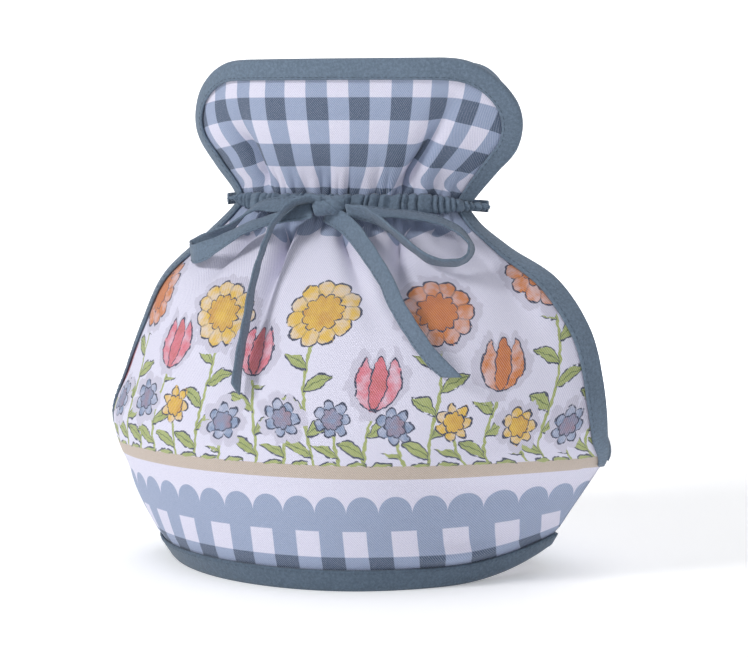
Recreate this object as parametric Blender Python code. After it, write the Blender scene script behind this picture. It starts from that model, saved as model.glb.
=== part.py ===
"""A gathered tea cosy: two cloth panels, bound edges, ruffled neck casings and a tie in a bow.

Each panel is one sheet of padded cotton. It is laid out flat first, X across and Y up from
the hem, and then carried into space by a table of ribs. A rib is the curve that one row of
the cloth takes, from the left edge round the front to the right edge. The bindings, casings
and tie are placed by the same flat measures, so they follow the cloth that they sit on.

Frame: metres, +Z up, the hem rests on z = 0, the front faces -Y, the spout side is -X and
the handle side is +X.
"""

import math
from collections import namedtuple

import bmesh
import bpy
import numpy as np
from mathutils import Vector

MM = 0.001

# Flat cloth of one panel, in millimetres
NECK_REACH = 168.0
TOP_REACH = 228.0
CORNER_RADIUS = 36.0
SLIT_REACH = 42.0
BODY_THICK = 2.4
NECK_THICK = 1.6
BOUND_THICK = 1.5
BOUND_REACH = 9.0
HEM_MIDDLE = 4.5
THIN_RAMP = 4.0

# Bias binding, in millimetres. A leg is one layer of the folded strip.
GAP = 0.3
SLACK = 0.1
BINDING_LEG = 1.0
BINDING_WIDTH = 7.5
BINDING_START = 48.0
BINDING_TAPER = 14.0
HEM_WIDTH = 8.5
HEM_RISE = 1.5
HEM_TILT_ROOM = 0.35

# Neck casing, in millimetres. It runs past the panel's side edges, left and right.
CASING_HEIGHT = 11.0
CASING_THICK = 2.2
CASING_SWELL = 1.1
CASING_WAVE = 9.0
CASING_TURN = 15.0
CASING_LEFT = 3.5
CASING_RIGHT = 8.0

# Tie and its knot, in millimetres. The knot's radii run along it, up it and off the cloth.
TIE_WIDTH = 8.0
TIE_THICK = 1.2
KNOT_ACROSS = -5.0
KNOT_UP = 167.5
KNOT_LIFT = 9.2
KNOT_RADII = (6.0, 4.3, 4.3)
SIDE_TIE_INSET_LEFT = 1.1
SIDE_TIE_INSET_RIGHT = 1.8
SIDE_TIE_WIDTH = 5.0

# Mesh spacing, in counts and millimetres
COLUMNS = 30
CASING_SECTIONS = 40
TIE_STEP = 5.0

CLOTH_ROUGHNESS = 0.9

# The row that a rib holds, and where its middle, left edge and right edge go.
# turn is how far the cloth has turned away from the front at that edge, in degrees.
# half is half the flat cloth's width in that row.
Rib = namedtuple(
    "Rib",
    "reach half x_mid y_mid z_mid x_left y_left z_left turn_left x_right y_right z_right turn_right",
)
FRONT_RIBS = (
    Rib(0, 109, -7, -65.0, 1.5, -91, 0, 1.5, 72, 75, 0, 11.5, 60),
    Rib(14, 118, -7, -69.0, 14.5, -99, 0, 13.0, 74, 80, 0, 20.0, 60),
    Rib(30, 127, -7, -73.0, 30.5, -107, 0, 28.5, 76, 87, 0, 31.0, 60),
    Rib(42, 132, -7, -75.5, 42.5, -110.5, 0, 40.0, 78, 94, 0, 41.5, 58),
    Rib(48, 132, -7, -76.5, 48.5, -111, -4, 46.0, 80, 99, -6, 47.0, 56),
    Rib(63, 130, -7, -77.5, 63.0, -111, -13, 61.5, 78, 102, -18, 62.5, 52),
    Rib(81, 121, -7, -75.5, 81.0, -103.5, -18, 80.5, 70, 100.5, -21, 83.0, 50),
    Rib(100, 112, -7, -69.5, 99.5, -96, -19, 99.5, 66, 95, -20, 102.5, 48),
    Rib(119, 100, -7, -59.0, 116.0, -87, -17, 119.5, 70, 82, -17, 120.5, 50),
    Rib(141, 85, -7, -44.0, 132.5, -69, -12, 137.5, 74, 60, -12, 133.5, 56),
    Rib(159, 77, -8, -30.0, 144.5, -59, -7, 148.5, 66, 45, -7, 144.5, 60),
    Rib(168, 75, -8, -24.5, 151.5, -57, -5, 152.5, 55, 41, -6, 151.0, 55),
    Rib(176, 76, -7, -25.5, 159.0, -59, -5, 157.5, 50, 45, -7, 156.0, 40),
    Rib(189, 79, -5, -29.5, 171.5, -67, -5, 168.0, 52, 55.0, -12, 166.0, 30),
    Rib(204, 83, -4, -33.5, 186.5, -75.5, -5, 181.5, 60, 66.5, -17, 177.5, 28),
    Rib(218, 85, -4, -36.5, 200.0, -76.5, -6, 193.5, 62, 74.5, -21, 188.5, 28),
    Rib(228, 86, -4, -38.0, 209.5, -75, -8, 202.0, 60, 77.0, -24, 196.5, 28),
)

# Added to every point, so that the origin lies under the middle of the whole thing's box
ORIGIN_SHIFT = (4.9, 0.0, 0.0)

# The back panel is drawn in on the handle side above its slit, and more so in the collar
BACK_DRAWN_IN = 13.0
BACK_DRAW_START = 44.0
BACK_DRAW_FULL = 70.0
COLLAR_DRAWN_IN = 3.0
COLLAR_DRAW_FULL = 204.0

# Where the ends of a row start to rise or droop from its middle height
END_SHARE = 0.5

# Soft troughs in the cloth. across and reach are flat places, drift moves the trough
# across for each millimetre down from its start, and a fold fades over its length.
Fold = namedtuple("Fold", "start across drift length width depth")
BODY_FOLDS = (
    Fold(162, -25, 0.06, 105, 6.0, 7.0),
    Fold(160, -42, -0.38, 62, 5.5, 3.5),
    Fold(160, 3, 0.42, 72, 5.5, 4.5),
    Fold(160, 34, -0.05, 62, 6.0, 5.5),
    Fold(150, 72, 0.30, 85, 12.0, 3.0),
)
COLLAR_FOLDS = (
    Fold(169, 32, 0.41, 56, 5.5, 7.0),
    Fold(169, -47, 0.00, 54, 5.0, 5.0),
    Fold(182, -47, -0.32, 40, 5.0, 3.0),
    Fold(169, -10, -0.05, 30, 6.0, 2.0),
)

# The many small gathers at the neck, as waves across the cloth
GATHER_WAVE = 15.0
GATHER_DEPTH = 1.5
GATHER_FADE = 17.0

COLOURS = {
    "cloth": (0.86, 0.85, 0.92, 1.0),
    "binding": (0.13, 0.18, 0.22, 1.0),
}


def smooth_through(stations, values, at):
    """Read a smooth curve through the values at the stations."""
    stations = np.asarray(stations, float)
    values = np.asarray(values, float)
    at = np.clip(at, stations[0], stations[-1])
    slopes = np.gradient(values, stations)
    index = np.clip(np.searchsorted(stations, at) - 1, 0, len(stations) - 2)
    span = stations[index + 1] - stations[index]
    t = (at - stations[index]) / span
    start = values[index] * (1 + 2 * t) * (1 - t) ** 2
    end = values[index + 1] * t * t * (3 - 2 * t)
    bend = span * t * (1 - t) * (slopes[index] * (1 - t) - slopes[index + 1] * t)
    return start + end + bend


def ease(value):
    """Go from 0 to 1 with level ends."""
    value = np.clip(value, 0.0, 1.0)
    return value * value * (3 - 2 * value)


class Cloth:
    """One panel: flat places in millimetres, carried into space in millimetres."""

    def __init__(self, ribs, side, drawn_in=0.0):
        self.side = side
        self.reach = [rib.reach for rib in ribs]
        self.column = {name: [getattr(rib, name) for rib in ribs] for name in Rib._fields}
        if drawn_in:
            draw = (np.array(self.reach) - BACK_DRAW_START) / (BACK_DRAW_FULL - BACK_DRAW_START)
            more = (np.array(self.reach) - NECK_REACH) / (COLLAR_DRAW_FULL - NECK_REACH)
            drawn = drawn_in * ease(draw) + COLLAR_DRAWN_IN * ease(more)
            self.column["x_right"] = np.array(self.column["x_right"]) - drawn

    def rib(self, name, up):
        return smooth_through(self.reach, self.column[name], up)

    def half(self, up):
        return self.rib("half", up)

    def smooth(self, across, up):
        """The cloth's middle surface without its folds."""
        across = np.asarray(across, float)
        up = np.asarray(up, float)
        share = across / self.half(up)
        right = share > 0
        away = np.abs(share)
        sign = np.where(right, 1.0, -1.0)
        pick = {}
        for name in ("x", "y", "z", "turn"):
            pick[name] = np.where(right, self.rib(name + "_right", up), self.rib(name + "_left", up))
        start = np.stack([self.rib("x_mid", up), self.rib("y_mid", up)], -1)
        end = np.stack([pick["x"], pick["y"]], -1)
        turn = np.radians(pick["turn"])
        handle = np.linalg.norm(end - start, axis=-1) * (2 / 3) * np.tan(turn / 4) / np.sin(turn / 2)
        first = start + np.stack([sign * handle, 0 * handle], -1)
        last = end - np.stack([sign * handle * np.cos(turn), handle * np.sin(turn)], -1)
        ticks = np.linspace(0, 1, 25)
        curve = [bezier(start, first, last, end, tick) for tick in ticks]
        steps = [np.linalg.norm(b - a, axis=-1) for a, b in zip(curve, curve[1:])]
        run = np.concatenate([[0 * steps[0]], np.cumsum(steps, 0)])
        want = away * run[-1]
        before = np.clip((run <= want).sum(0) - 1, 0, len(steps) - 1)
        base = np.take_along_axis(run, before[None], 0)[0]
        step = np.take_along_axis(np.array(steps), before[None], 0)[0]
        t = (before + (want - base) / step) / (len(ticks) - 1)
        plan = bezier(start, first, last, end, t[..., None])
        ends = ease_in((away - END_SHARE) / (1 - END_SHARE))
        height = self.rib("z_mid", up) + (pick["z"] - self.rib("z_mid", up)) * ends
        return np.stack([plan[..., 0], plan[..., 1] * self.side, height], -1)

    def normal_of(self, surface, across, up, step=0.5):
        """Outward unit normal of a surface given as a function of flat places."""
        up = np.clip(up, step, TOP_REACH - step)
        dx = surface(across + step, up) - surface(across - step, up)
        dy = surface(across, up + step) - surface(across, up - step)
        normal = np.cross(dx, dy) * self.side
        return normal / np.linalg.norm(normal, axis=-1, keepdims=True)

    def fold_depth(self, across, up):
        """How far the folds and gathers push the cloth in at a flat place."""
        depth = np.zeros(np.broadcast(across, up).shape)
        for folds, way in ((BODY_FOLDS, -1.0), (COLLAR_FOLDS, 1.0)):
            for fold in folds:
                along = (up - fold.start) * way
                middle = fold.across + fold.drift * along
                spread = fold.width * (0.6 + 0.6 * along / fold.length)
                trough = np.exp(-(((across - middle) / np.maximum(spread, 2.0)) ** 2))
                fade = ease(along / 12.0) * ease(1 - along / fold.length)
                depth = depth + fold.depth * trough * fade * (along > 0)
        beat = 1 + 0.35 * np.sin(across * 0.13 + 1.0)
        wave = np.cos(2 * math.pi * across / GATHER_WAVE + 0.9 * np.sin(across * 0.11))
        fade = np.exp(-(((up - NECK_REACH) / GATHER_FADE) ** 2))
        edge = ease((self.half(up) - np.abs(across) - 8.0) / 10.0)
        depth = depth * ease((self.half(up) - np.abs(across) - 8.0) / 14.0)
        return depth + GATHER_DEPTH * (1 - wave * beat) * 0.5 * fade * edge

    def surface(self, across, up):
        """The cloth's middle surface with its folds."""
        normal = self.normal_of(self.smooth, across, up)
        return self.smooth(across, up) - normal * self.fold_depth(across, up)[..., None]

    def normal(self, across, up):
        return self.normal_of(self.surface, across, up)

    def thickness(self, across, up):
        """Full thickness, thinner at the neck and where an edge is bound."""
        neck = np.exp(-(((up - NECK_REACH) / 14.0) ** 2))
        thick = BODY_THICK - (BODY_THICK - NECK_THICK) * neck
        slope = (self.half(up + 1) - self.half(up - 1)) / 2
        from_side = (self.half(up) - np.abs(across)) / np.hypot(1, slope)
        side = np.where(up > SLIT_REACH, from_side, BODY_THICK * 100)
        edge = np.minimum(np.minimum(side, TOP_REACH - up), up)
        corner = np.hypot(
            np.maximum(np.abs(across) - (self.half(up) - CORNER_RADIUS), 0),
            np.maximum(up - (TOP_REACH - CORNER_RADIUS), 0),
        )
        edge = np.minimum(edge, np.where(up > SLIT_REACH, CORNER_RADIUS - corner + 0 * edge, edge))
        open_up = ease((edge - BOUND_REACH) / THIN_RAMP)
        return np.minimum(thick, BOUND_THICK + (thick - BOUND_THICK) * open_up)


def ease_in(value):
    """Start level and rise without a level end."""
    value = np.clip(value, 0.0, 1.0)
    return value * value


def bezier(start, first, last, end, t):
    """A point of a cubic curve."""
    return start * (1 - t) ** 3 + 3 * first * t * (1 - t) ** 2 + 3 * last * t * t * (1 - t) + end * t**3


def round_corner(cloth, across, up):
    """Carry a place of the square-cornered sheet to the sheet with round top corners."""
    half = cloth.half(up)
    p = (np.abs(across) - (half - CORNER_RADIUS)) / CORNER_RADIUS
    q = (up - (TOP_REACH - CORNER_RADIUS)) / CORNER_RADIUS
    inside = (p > 0) & (q > 0)
    pc = np.clip(p, 0, 1)
    qc = np.clip(q, 0, 1)
    new_across = half - CORNER_RADIUS + CORNER_RADIUS * pc * np.sqrt(1 - qc**2 / 2)
    new_up = TOP_REACH - CORNER_RADIUS + CORNER_RADIUS * qc * np.sqrt(1 - pc**2 / 2)
    across = np.where(inside, np.sign(across) * new_across, across)
    return across, np.where(inside, new_up, up)


def place_of_share(cloth, share, up):
    """Flat place of a share of the half width in a row, with the corners rounded."""
    return round_corner(cloth, share * cloth.half(up), up)


def add_solid(name, colour, points, faces):
    """Make one closed object of points in millimetres, its faces turned outwards."""
    mesh = bpy.data.meshes.new(name)
    shape = bmesh.new()
    corners = [shape.verts.new((Vector(point) + Vector(ORIGIN_SHIFT)) * MM) for point in points]
    for face in faces:
        shape.faces.new([corners[index] for index in face])
    bmesh.ops.triangulate(shape, faces=shape.faces[:])
    bmesh.ops.recalc_face_normals(shape, faces=shape.faces[:])
    if shape.calc_volume(signed=True) < 0:
        bmesh.ops.reverse_faces(shape, faces=shape.faces[:])
    shape.to_mesh(mesh)
    shape.free()
    mesh.shade_smooth()
    mesh.materials.append(material(colour))
    solid = bpy.data.objects.new(name, mesh)
    bpy.context.scene.collection.objects.link(solid)
    return solid


def material(colour):
    """The one material of a colour name."""
    found = bpy.data.materials.get(colour)
    if found:
        return found
    made = bpy.data.materials.new(colour)
    made.use_nodes = True
    shader = made.node_tree.nodes["Principled BSDF"]
    shader.inputs["Base Color"].default_value = COLOURS[colour]
    shader.inputs["Roughness"].default_value = CLOTH_ROUGHNESS
    shader.inputs["Metallic"].default_value = 0.0
    return made


def loft(name, colour, sections, ring=False, end_faces=None):
    """Join closed sections one after another, as a ring or closed at each end.

    end_faces cuts an end into faces, given as tuples of section corners.
    """
    size = len(sections[0])
    count = len(sections)
    points = np.concatenate(sections)
    faces = []
    for index in range(count if ring else count - 1):
        here = index * size
        there = (index + 1) % count * size
        for corner in range(size):
            after = (corner + 1) % size
            faces.append((here + corner, here + after, there + after, there + corner))
    if not ring:
        for face in end_faces or (tuple(range(size)),):
            faces.append(face)
            faces.append(tuple((count - 1) * size + corner for corner in reversed(face)))
    return add_solid(name, colour, points, faces)


def row_places():
    """The flat heights of the panel's mesh rows, closer together at the neck and the ends."""
    hem = [0, HEM_MIDDLE, BOUND_REACH, BOUND_REACH + THIN_RAMP, 20, 31, SLIT_REACH, 45]
    below = np.linspace(BINDING_START, NECK_REACH - 20, 10)
    neck = np.linspace(NECK_REACH - 20, NECK_REACH + 14, 8)
    above = np.linspace(NECK_REACH + 14, TOP_REACH, 7)
    return np.concatenate([hem, below, neck[1:], above[1:]])


def column_places():
    """The shares of the half width of the panel's mesh columns."""
    inner = np.linspace(-0.9, 0.9, COLUMNS + 1)
    return np.concatenate([[-1, -0.945], inner, [0.945, 1]])


def add_panel(name, cloth):
    """One panel: an outer and an inner skin over the same flat places, joined at the rim."""
    share, up = np.meshgrid(column_places(), row_places())
    across, high = place_of_share(cloth, share, up)
    middle = cloth.surface(across, high)
    normal = cloth.normal(across, high)
    seam = (np.abs(share) > 0.999) & (up < SLIT_REACH + 0.5)
    flat = normal.copy()
    flat[..., 1] = 0
    mitre = flat / np.maximum(1 - normal[..., 1:2] ** 2, 0.05)
    normal = np.where(seam[..., None], mitre, normal)
    middle[..., 1] = np.where(seam, -cloth.side * GAP / 2, middle[..., 1])
    half = cloth.thickness(across, high)[..., None] / 2
    rows, columns = share.shape
    points = np.concatenate([(middle + normal * half).reshape(-1, 3), (middle - normal * half).reshape(-1, 3)])
    skin = rows * columns
    faces = []
    for row in range(rows - 1):
        for column in range(columns - 1):
            a = row * columns + column
            quad = (a, a + 1, a + columns + 1, a + columns)
            faces.append(quad)
            faces.append(tuple(skin + corner for corner in reversed(quad)))
    rim = list(range(columns))
    rim += [row * columns + columns - 1 for row in range(1, rows)]
    rim += [(rows - 1) * columns + column for column in range(columns - 2, -1, -1)]
    rim += [row * columns for row in range(rows - 2, 0, -1)]
    for here, there in zip(rim, rim[1:] + rim[:1]):
        faces.append((here, there, skin + there, skin + here))
    add_solid(name, "cloth", points, faces)


def bound_rim(cloth):
    """Places round a panel's bound edge, their run, and the flat way into the cloth.

    They are the places of the panel's own rim. Down the sides the way in runs along the
    panel's rows, so that the strip and the cloth bend together, and elsewhere square to the rim.
    """
    sides = row_places()
    sides = sides[sides >= BINDING_START]
    top = column_places()[1:-1]
    share = np.concatenate([-np.ones(len(sides)), top, np.ones(len(sides))])
    up = np.concatenate([sides, np.full(len(top), TOP_REACH), sides[::-1]])
    across, high = place_of_share(cloth, share, up)
    run = np.concatenate([[0], np.cumsum(np.hypot(np.diff(across), np.diff(high)))])
    along = np.stack([np.gradient(across, run), np.gradient(high, run)], -1)
    along /= np.linalg.norm(along, axis=1, keepdims=True)
    square = np.stack([along[:, 1], -along[:, 0]], -1)
    by_row = np.stack([-share, 0 * share], -1) / np.abs(along[:, 1:2]).clip(0.2)
    straight_side = (np.abs(share) > 0.999) & (up < TOP_REACH - CORNER_RADIUS)
    return across, high, run, np.where(straight_side[:, None], by_row, square)


# The end of a folded strip, cut into faces: one leg, the fold's three, the other leg
FOLD_END_FACES = ((0, 1, 7, 8), (1, 2, 7), (2, 6, 7), (2, 3, 6), (3, 4, 5, 6))


def binding_section(cloth, across, up, inward, width, leg):
    """The folded strip's section at a rim place."""
    half = BOUND_THICK / 2 + GAP + SLACK
    outer = half + leg
    layout = (
        (width, outer), (-0.2, outer), (-GAP - leg, 0.0), (-0.2, -outer), (width, -outer),
        (width, -half), (-GAP, -half), (-GAP, half), (width, half),
    )
    depth = np.array([row[0] for row in layout])
    lift = np.array([row[1] for row in layout])
    reach = np.maximum(depth, 0.0)
    base = cloth.surface(across + inward[0] * reach, up + inward[1] * reach)
    normal = cloth.normal(across + inward[0] * reach, up + inward[1] * reach)
    way = base[0] - base[2]
    way -= normal[2] * np.dot(way, normal[2])
    way /= np.linalg.norm(way)
    return base + np.minimum(depth, 0)[:, None] * way + normal * lift[:, None]


def add_edge_binding(name, cloth):
    """The bias strip folded over a panel's free edge, thin where it leaves the side seam."""
    across, up, run, inward = bound_rim(cloth)
    sections = []
    for index in range(len(run)):
        from_end = min(run[index], run[-1] - run[index])
        grown = float(ease((from_end + 2) / BINDING_TAPER))
        width = 3.0 + (BINDING_WIDTH - 3.0) * grown
        leg = BINDING_LEG * (0.8 + 0.2 * grown)
        sections.append(binding_section(cloth, across[index], up[index], inward[index], width, leg))
    loft(name, "binding", sections, end_faces=FOLD_END_FACES)


def hem_section(cloth, share):
    """The hem strip's section: two legs up the cloth and a flat foot."""
    half = BOUND_THICK / 2 + GAP + SLACK
    outer = half + BINDING_LEG
    layout = (
        (HEM_WIDTH, outer), (HEM_MIDDLE, outer), (0.8, outer), (0.0, outer - 0.3),
        (0.0, 0.3 - outer), (0.8, -outer), (HEM_MIDDLE, -outer), (HEM_WIDTH, -outer),
        (HEM_WIDTH, -half), (HEM_MIDDLE, -half), (-GAP, -half),
        (-GAP, half), (HEM_MIDDLE, half), (HEM_WIDTH, half),
    )
    depth = np.array([row[0] for row in layout])
    lift = np.array([row[1] for row in layout])
    reach = np.maximum(depth, 0.0)
    across = share * cloth.half(reach)
    base = cloth.surface(across, reach)
    normal = cloth.normal(across, reach)
    rise = cloth.surface(share * cloth.half(reach + 1.0), reach + 1.0) - base
    if abs(share) > 0.999:
        flat = normal.copy()
        flat[:, 1] = 0
        normal = flat / np.maximum(1 - normal[:, 1:2] ** 2, 0.05)
        base[:, 1] = 0
        rise[:, 1] = 0
    section = base + normal * lift[:, None]
    floor = base[:, 2] - np.where(depth < 0, GAP + HEM_TILT_ROOM, HEM_RISE)
    drop = np.where(depth <= 0, (floor - section[:, 2]) / rise[:, 2], 0.0)
    return section + rise * drop[:, None]


def add_hem(front, back):
    """One strip round the whole hem, sewn to both panels."""
    shares = column_places()
    sections = [hem_section(front, share) for share in shares]
    sections += [hem_section(back, share) for share in shares[-2:0:-1]]
    loft("hem_binding", "binding", sections, ring=True)


def beyond(cloth, across, up, turn):
    """A smooth surface place that may lie past the cloth's side edge, and its outward way."""
    half = cloth.half(np.array([up]))[0]
    kept = np.array([np.clip(across, -half, half)])
    at = np.array([up])
    place = cloth.smooth(kept, at)[0]
    normal = cloth.normal_of(cloth.smooth, np.clip(kept, 1 - half, half - 1), at)[0]
    extra = abs(across) - half
    if extra > 0:
        sign = 1.0 if across > 0 else -1.0
        angle = math.radians(turn)
        place = place + extra * np.array([sign * math.cos(angle), cloth.side * math.sin(angle), 0])
    return place, normal


def add_casing(name, cloth, past_left, past_right):
    """The ruffled channel that the tie runs in, sewn over the neck."""
    half = cloth.half(np.array([NECK_REACH]))[0]
    start = -half - past_left
    end = half + past_right
    sections = []
    for across in np.linspace(start, end, CASING_SECTIONS):
        near_end = min(across - start, end - across)
        full = float(ease(0.25 + near_end / 10.0))
        over_binding = float(ease((abs(across) - (half - 16)) / 6))
        inner = NECK_THICK / 2 + GAP + 0.1 + (BINDING_LEG + GAP + 0.1) * over_binding
        ruffle = 0.5 + 0.5 * math.cos(2 * math.pi * across / CASING_WAVE + 0.8 * math.sin(across * 0.2))
        thick = CASING_THICK * (0.55 + 0.45 * full) + CASING_SWELL * ruffle * full
        tall = CASING_HEIGHT / 2 * full
        layout = (
            (-1.0, 0.0), (-1.0, 1.0), (-0.5, thick), (0.0, thick + 0.3), (0.5, thick), (1.0, 1.0), (1.0, 0.0),
        )
        section = []
        for rise, lift in layout:
            place, normal = beyond(cloth, across, NECK_REACH + rise * tall, CASING_TURN)
            section.append(place + normal * (inner + lift))
        sections.append(np.array(section))
    loft(name, "binding", sections)


# One place on a strip's route: flat place, lift off the cloth, and the way its width points.
# spin turns the width in the cloth's face from up towards +X, tip raises it off the cloth.
Way = namedtuple("Way", "across up lift spin tip")
LEFT_LOOP = (
    Way(-13.6, 168.3, 6.5, 0, 0), Way(-26, 169, 6.8, 0, 0), Way(-38, 169, 6.9, 0, 0),
    Way(-50, 167, 7.0, -8, 0), Way(-60, 161, 6.8, -25, 0), Way(-68, 153, 6.0, -35, 0),
    Way(-76, 144.5, 5.2, -35, 0), Way(-83, 137, 4.8, -35, 0), Way(-86.5, 133.5, 6.2, -35, 0),
    Way(-86, 132.5, 8.6, -35, 0), Way(-80, 133, 10.2, -35, 0), Way(-70, 136, 10.2, -35, 0),
    Way(-61, 143, 9.6, -38, 0), Way(-54, 151, 9.2, -38, 0), Way(-45, 159, 9.0, -28, 0),
    Way(-34, 163.5, 9.0, -12, 0), Way(-22, 166, 9.0, 0, 0), Way(-13.6, 166.5, 9.0, 0, 0),
)
RIGHT_LOOP = (
    Way(3.4, 167.5, 6.4, 0, 4), Way(18, 166.5, 6.7, 0, 8), Way(30, 166, 7.0, 0, 10),
    Way(42, 164.5, 7.2, 5, 12), Way(52, 162, 7.6, 15, 16), Way(60, 158.5, 8.2, 30, 26),
    Way(66, 153.5, 8.8, 60, 40), Way(67.5, 147, 9.0, 90, 48), Way(63.5, 141, 9.0, 130, 40),
    Way(55, 137.5, 8.6, 165, 26), Way(46, 139, 8.4, 200, 16), Way(38, 145, 8.6, 222, 10),
    Way(31, 152.5, 9.0, 226, 8), Way(24, 159, 9.2, 215, 6), Way(15, 163.5, 9.2, 198, 4),
    Way(3.4, 165.8, 9.2, 185, 2),
)
LEFT_TAIL = (
    Way(-15, 169.5, 11.8, 0, 0), Way(-22, 171, 13.2, -10, 12), Way(-29, 169, 15.0, -38, 30),
    Way(-34, 163.5, 16.0, -70, 45), Way(-36, 156, 14.6, -88, 58), Way(-35.5, 146, 10.8, -92, 62),
    Way(-33, 134, 7.6, -94, 55), Way(-29.5, 119, 6.4, -94, 40), Way(-28, 105, 5.6, -90, 26),
    Way(-28, 93, 5.0, -90, 16), Way(-29, 80.5, 4.6, -90, 10),
)
RIGHT_TAIL = (
    Way(-1, 157.5, 6.0, 45, 0), Way(6, 153.5, 6.4, 52, 4), Way(14, 146, 6.4, 62, 8),
    Way(21.5, 134, 6.0, 66, 10), Way(28, 121, 5.6, 66, 12), Way(35, 108, 5.2, 62, 14),
    Way(42, 98, 4.9, 56, 12), Way(49, 90.5, 4.7, 50, 10), Way(56, 84.5, 4.6, 48, 8),
)


def strip_section(place, along, width_way, width, thick):
    """A flat oblong section of a strip."""
    wide = width_way - along * np.dot(width_way, along)
    wide /= np.linalg.norm(wide)
    face = np.cross(along, wide)
    corners = ((-1, -1), (1, -1), (1, 1), (-1, 1))
    return np.array([place + wide * side * width / 2 + face * deep * thick / 2 for side, deep in corners])


def strip_places(cloth, ways):
    """Places in space and width directions along a strip's route."""
    stations = np.arange(len(ways), dtype=float)
    coarse = np.linspace(0, len(ways) - 1, 40 * len(ways))
    read = {
        name: smooth_through(stations, [getattr(way, name) for way in ways], coarse)
        for name in Way._fields
    }
    place = cloth.smooth(read["across"], read["up"])
    normal = cloth.normal_of(cloth.smooth, read["across"], read["up"])
    rise = cloth.smooth(read["across"], read["up"] + 0.5) - cloth.smooth(read["across"], read["up"] - 0.5)
    rise -= normal * (rise * normal).sum(-1, keepdims=True)
    rise /= np.linalg.norm(rise, axis=-1, keepdims=True)
    side = np.cross(rise, normal) * cloth.side
    spin = np.radians(read["spin"])[:, None]
    tip = np.radians(read["tip"])[:, None]
    wide = np.cos(tip) * (np.cos(spin) * rise + np.sin(spin) * side) + np.sin(tip) * normal
    place = place + normal * read["lift"][:, None]
    run = np.concatenate([[0], np.cumsum(np.linalg.norm(np.diff(place, axis=0), axis=1))])
    at = np.linspace(0, run[-1], int(run[-1] / TIE_STEP) + 2)
    pick = [np.stack([np.interp(at, run, value[:, axis]) for axis in range(3)], -1) for value in (place, wide)]
    return pick[0], pick[1]


def add_strip(name, cloth, ways):
    """One stretch of the tie, a flat strip of folded cloth."""
    places, widths = strip_places(cloth, ways)
    along = np.gradient(places, axis=0)
    along /= np.linalg.norm(along, axis=1, keepdims=True)
    sections = [
        strip_section(place, way, wide, TIE_WIDTH, TIE_THICK)
        for place, way, wide in zip(places, along, widths)
    ]
    loft(name, "binding", sections)


def add_knot(cloth):
    """The knot: a short fat wrap of the tie, wider at its middle."""
    centre, normal = beyond(cloth, KNOT_ACROSS, KNOT_UP, 0)
    side = np.array([1.0, 0.0, 0.0])
    side -= normal * np.dot(side, normal)
    side /= np.linalg.norm(side)
    rise = np.cross(normal, side) * cloth.side * -1
    centre = centre + normal * KNOT_LIFT
    wide, tall, deep = KNOT_RADII
    sections = []
    for share in np.linspace(-1, 1, 9):
        swell = 0.62 + 0.38 * math.sqrt(1 - share * share)
        turns = np.linspace(0, 2 * math.pi, 12, endpoint=False)
        ring = [
            centre + side * share * wide
            + rise * math.cos(turn) * tall * swell
            + normal * math.sin(turn) * deep * swell
            for turn in turns
        ]
        sections.append(np.array(ring))
    loft("bow_knot", "binding", sections)


def add_side_tie(name, front, back, sign, past, inset):
    """The short stretch of tie that crosses a slit from the front casing to the back one."""
    ends = []
    for cloth, far in ((front, past), (back, past)):
        half = cloth.half(np.array([NECK_REACH]))[0]
        place, normal = beyond(cloth, sign * (half + far), NECK_REACH, CASING_TURN)
        ends.append(place + normal * (NECK_THICK / 2 + BINDING_LEG + 2 * GAP + 1.2))
    start, end = ends
    way = (end - start) / np.linalg.norm(end - start)
    start = start + way * inset
    end = end - way * inset
    up = np.array([0.0, 0.0, 1.0])
    bow = np.array([sign * 0.8, 0.0, 0.0])
    sections = []
    for share in np.linspace(0, 1, 4):
        place = start + (end - start) * share + bow * math.sin(math.pi * share)
        sections.append(strip_section(place, way, up, SIDE_TIE_WIDTH, TIE_THICK))
    loft(name, "binding", sections)


def build():
    for old in list(bpy.data.objects):
        bpy.data.objects.remove(old, do_unlink=True)
    front = Cloth(FRONT_RIBS, 1.0)
    back = Cloth(FRONT_RIBS, -1.0, BACK_DRAWN_IN)
    add_panel("front_panel", front)
    add_panel("back_panel", back)
    add_edge_binding("front_edge_binding", front)
    add_edge_binding("back_edge_binding", back)
    add_hem(front, back)
    add_casing("front_casing", front, CASING_LEFT, CASING_RIGHT)
    add_casing("back_casing", back, CASING_LEFT, CASING_RIGHT)
    add_knot(front)
    for name, ways in (
        ("bow_left_loop", LEFT_LOOP),
        ("bow_right_loop", RIGHT_LOOP),
        ("tie_left_tail", LEFT_TAIL),
        ("tie_right_tail", RIGHT_TAIL),
    ):
        add_strip(name, front, ways)
    add_side_tie("tie_left_side", front, back, -1.0, CASING_LEFT, SIDE_TIE_INSET_LEFT)
    add_side_tie("tie_right_side", front, back, 1.0, CASING_RIGHT, SIDE_TIE_INSET_RIGHT)
    corners = [item.matrix_world @ Vector(corner) for item in bpy.data.objects for corner in item.bound_box]
    low = [min(corner[axis] for corner in corners) for axis in range(3)]
    high = [max(corner[axis] for corner in corners) for axis in range(3)]
    print("low", [round(value, 5) for value in low], "high", [round(value, 5) for value in high])
    print("triangles", {item.name: len(item.data.polygons) for item in bpy.data.objects})


build()
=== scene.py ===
# %% [markdown]
# # A gathered tea cosy
#
# The cosy is two cloth panels with bound edges, a ruffled channel over the neck and a tie in a
# bow. This script dresses the fixed frame: it lays fine cloth over the frame's panels, sews the
# bindings and the tie on, and paints the printed cotton with nodes. Every step first says what
# it makes and then prints what came out.

import math
from collections import namedtuple

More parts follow.
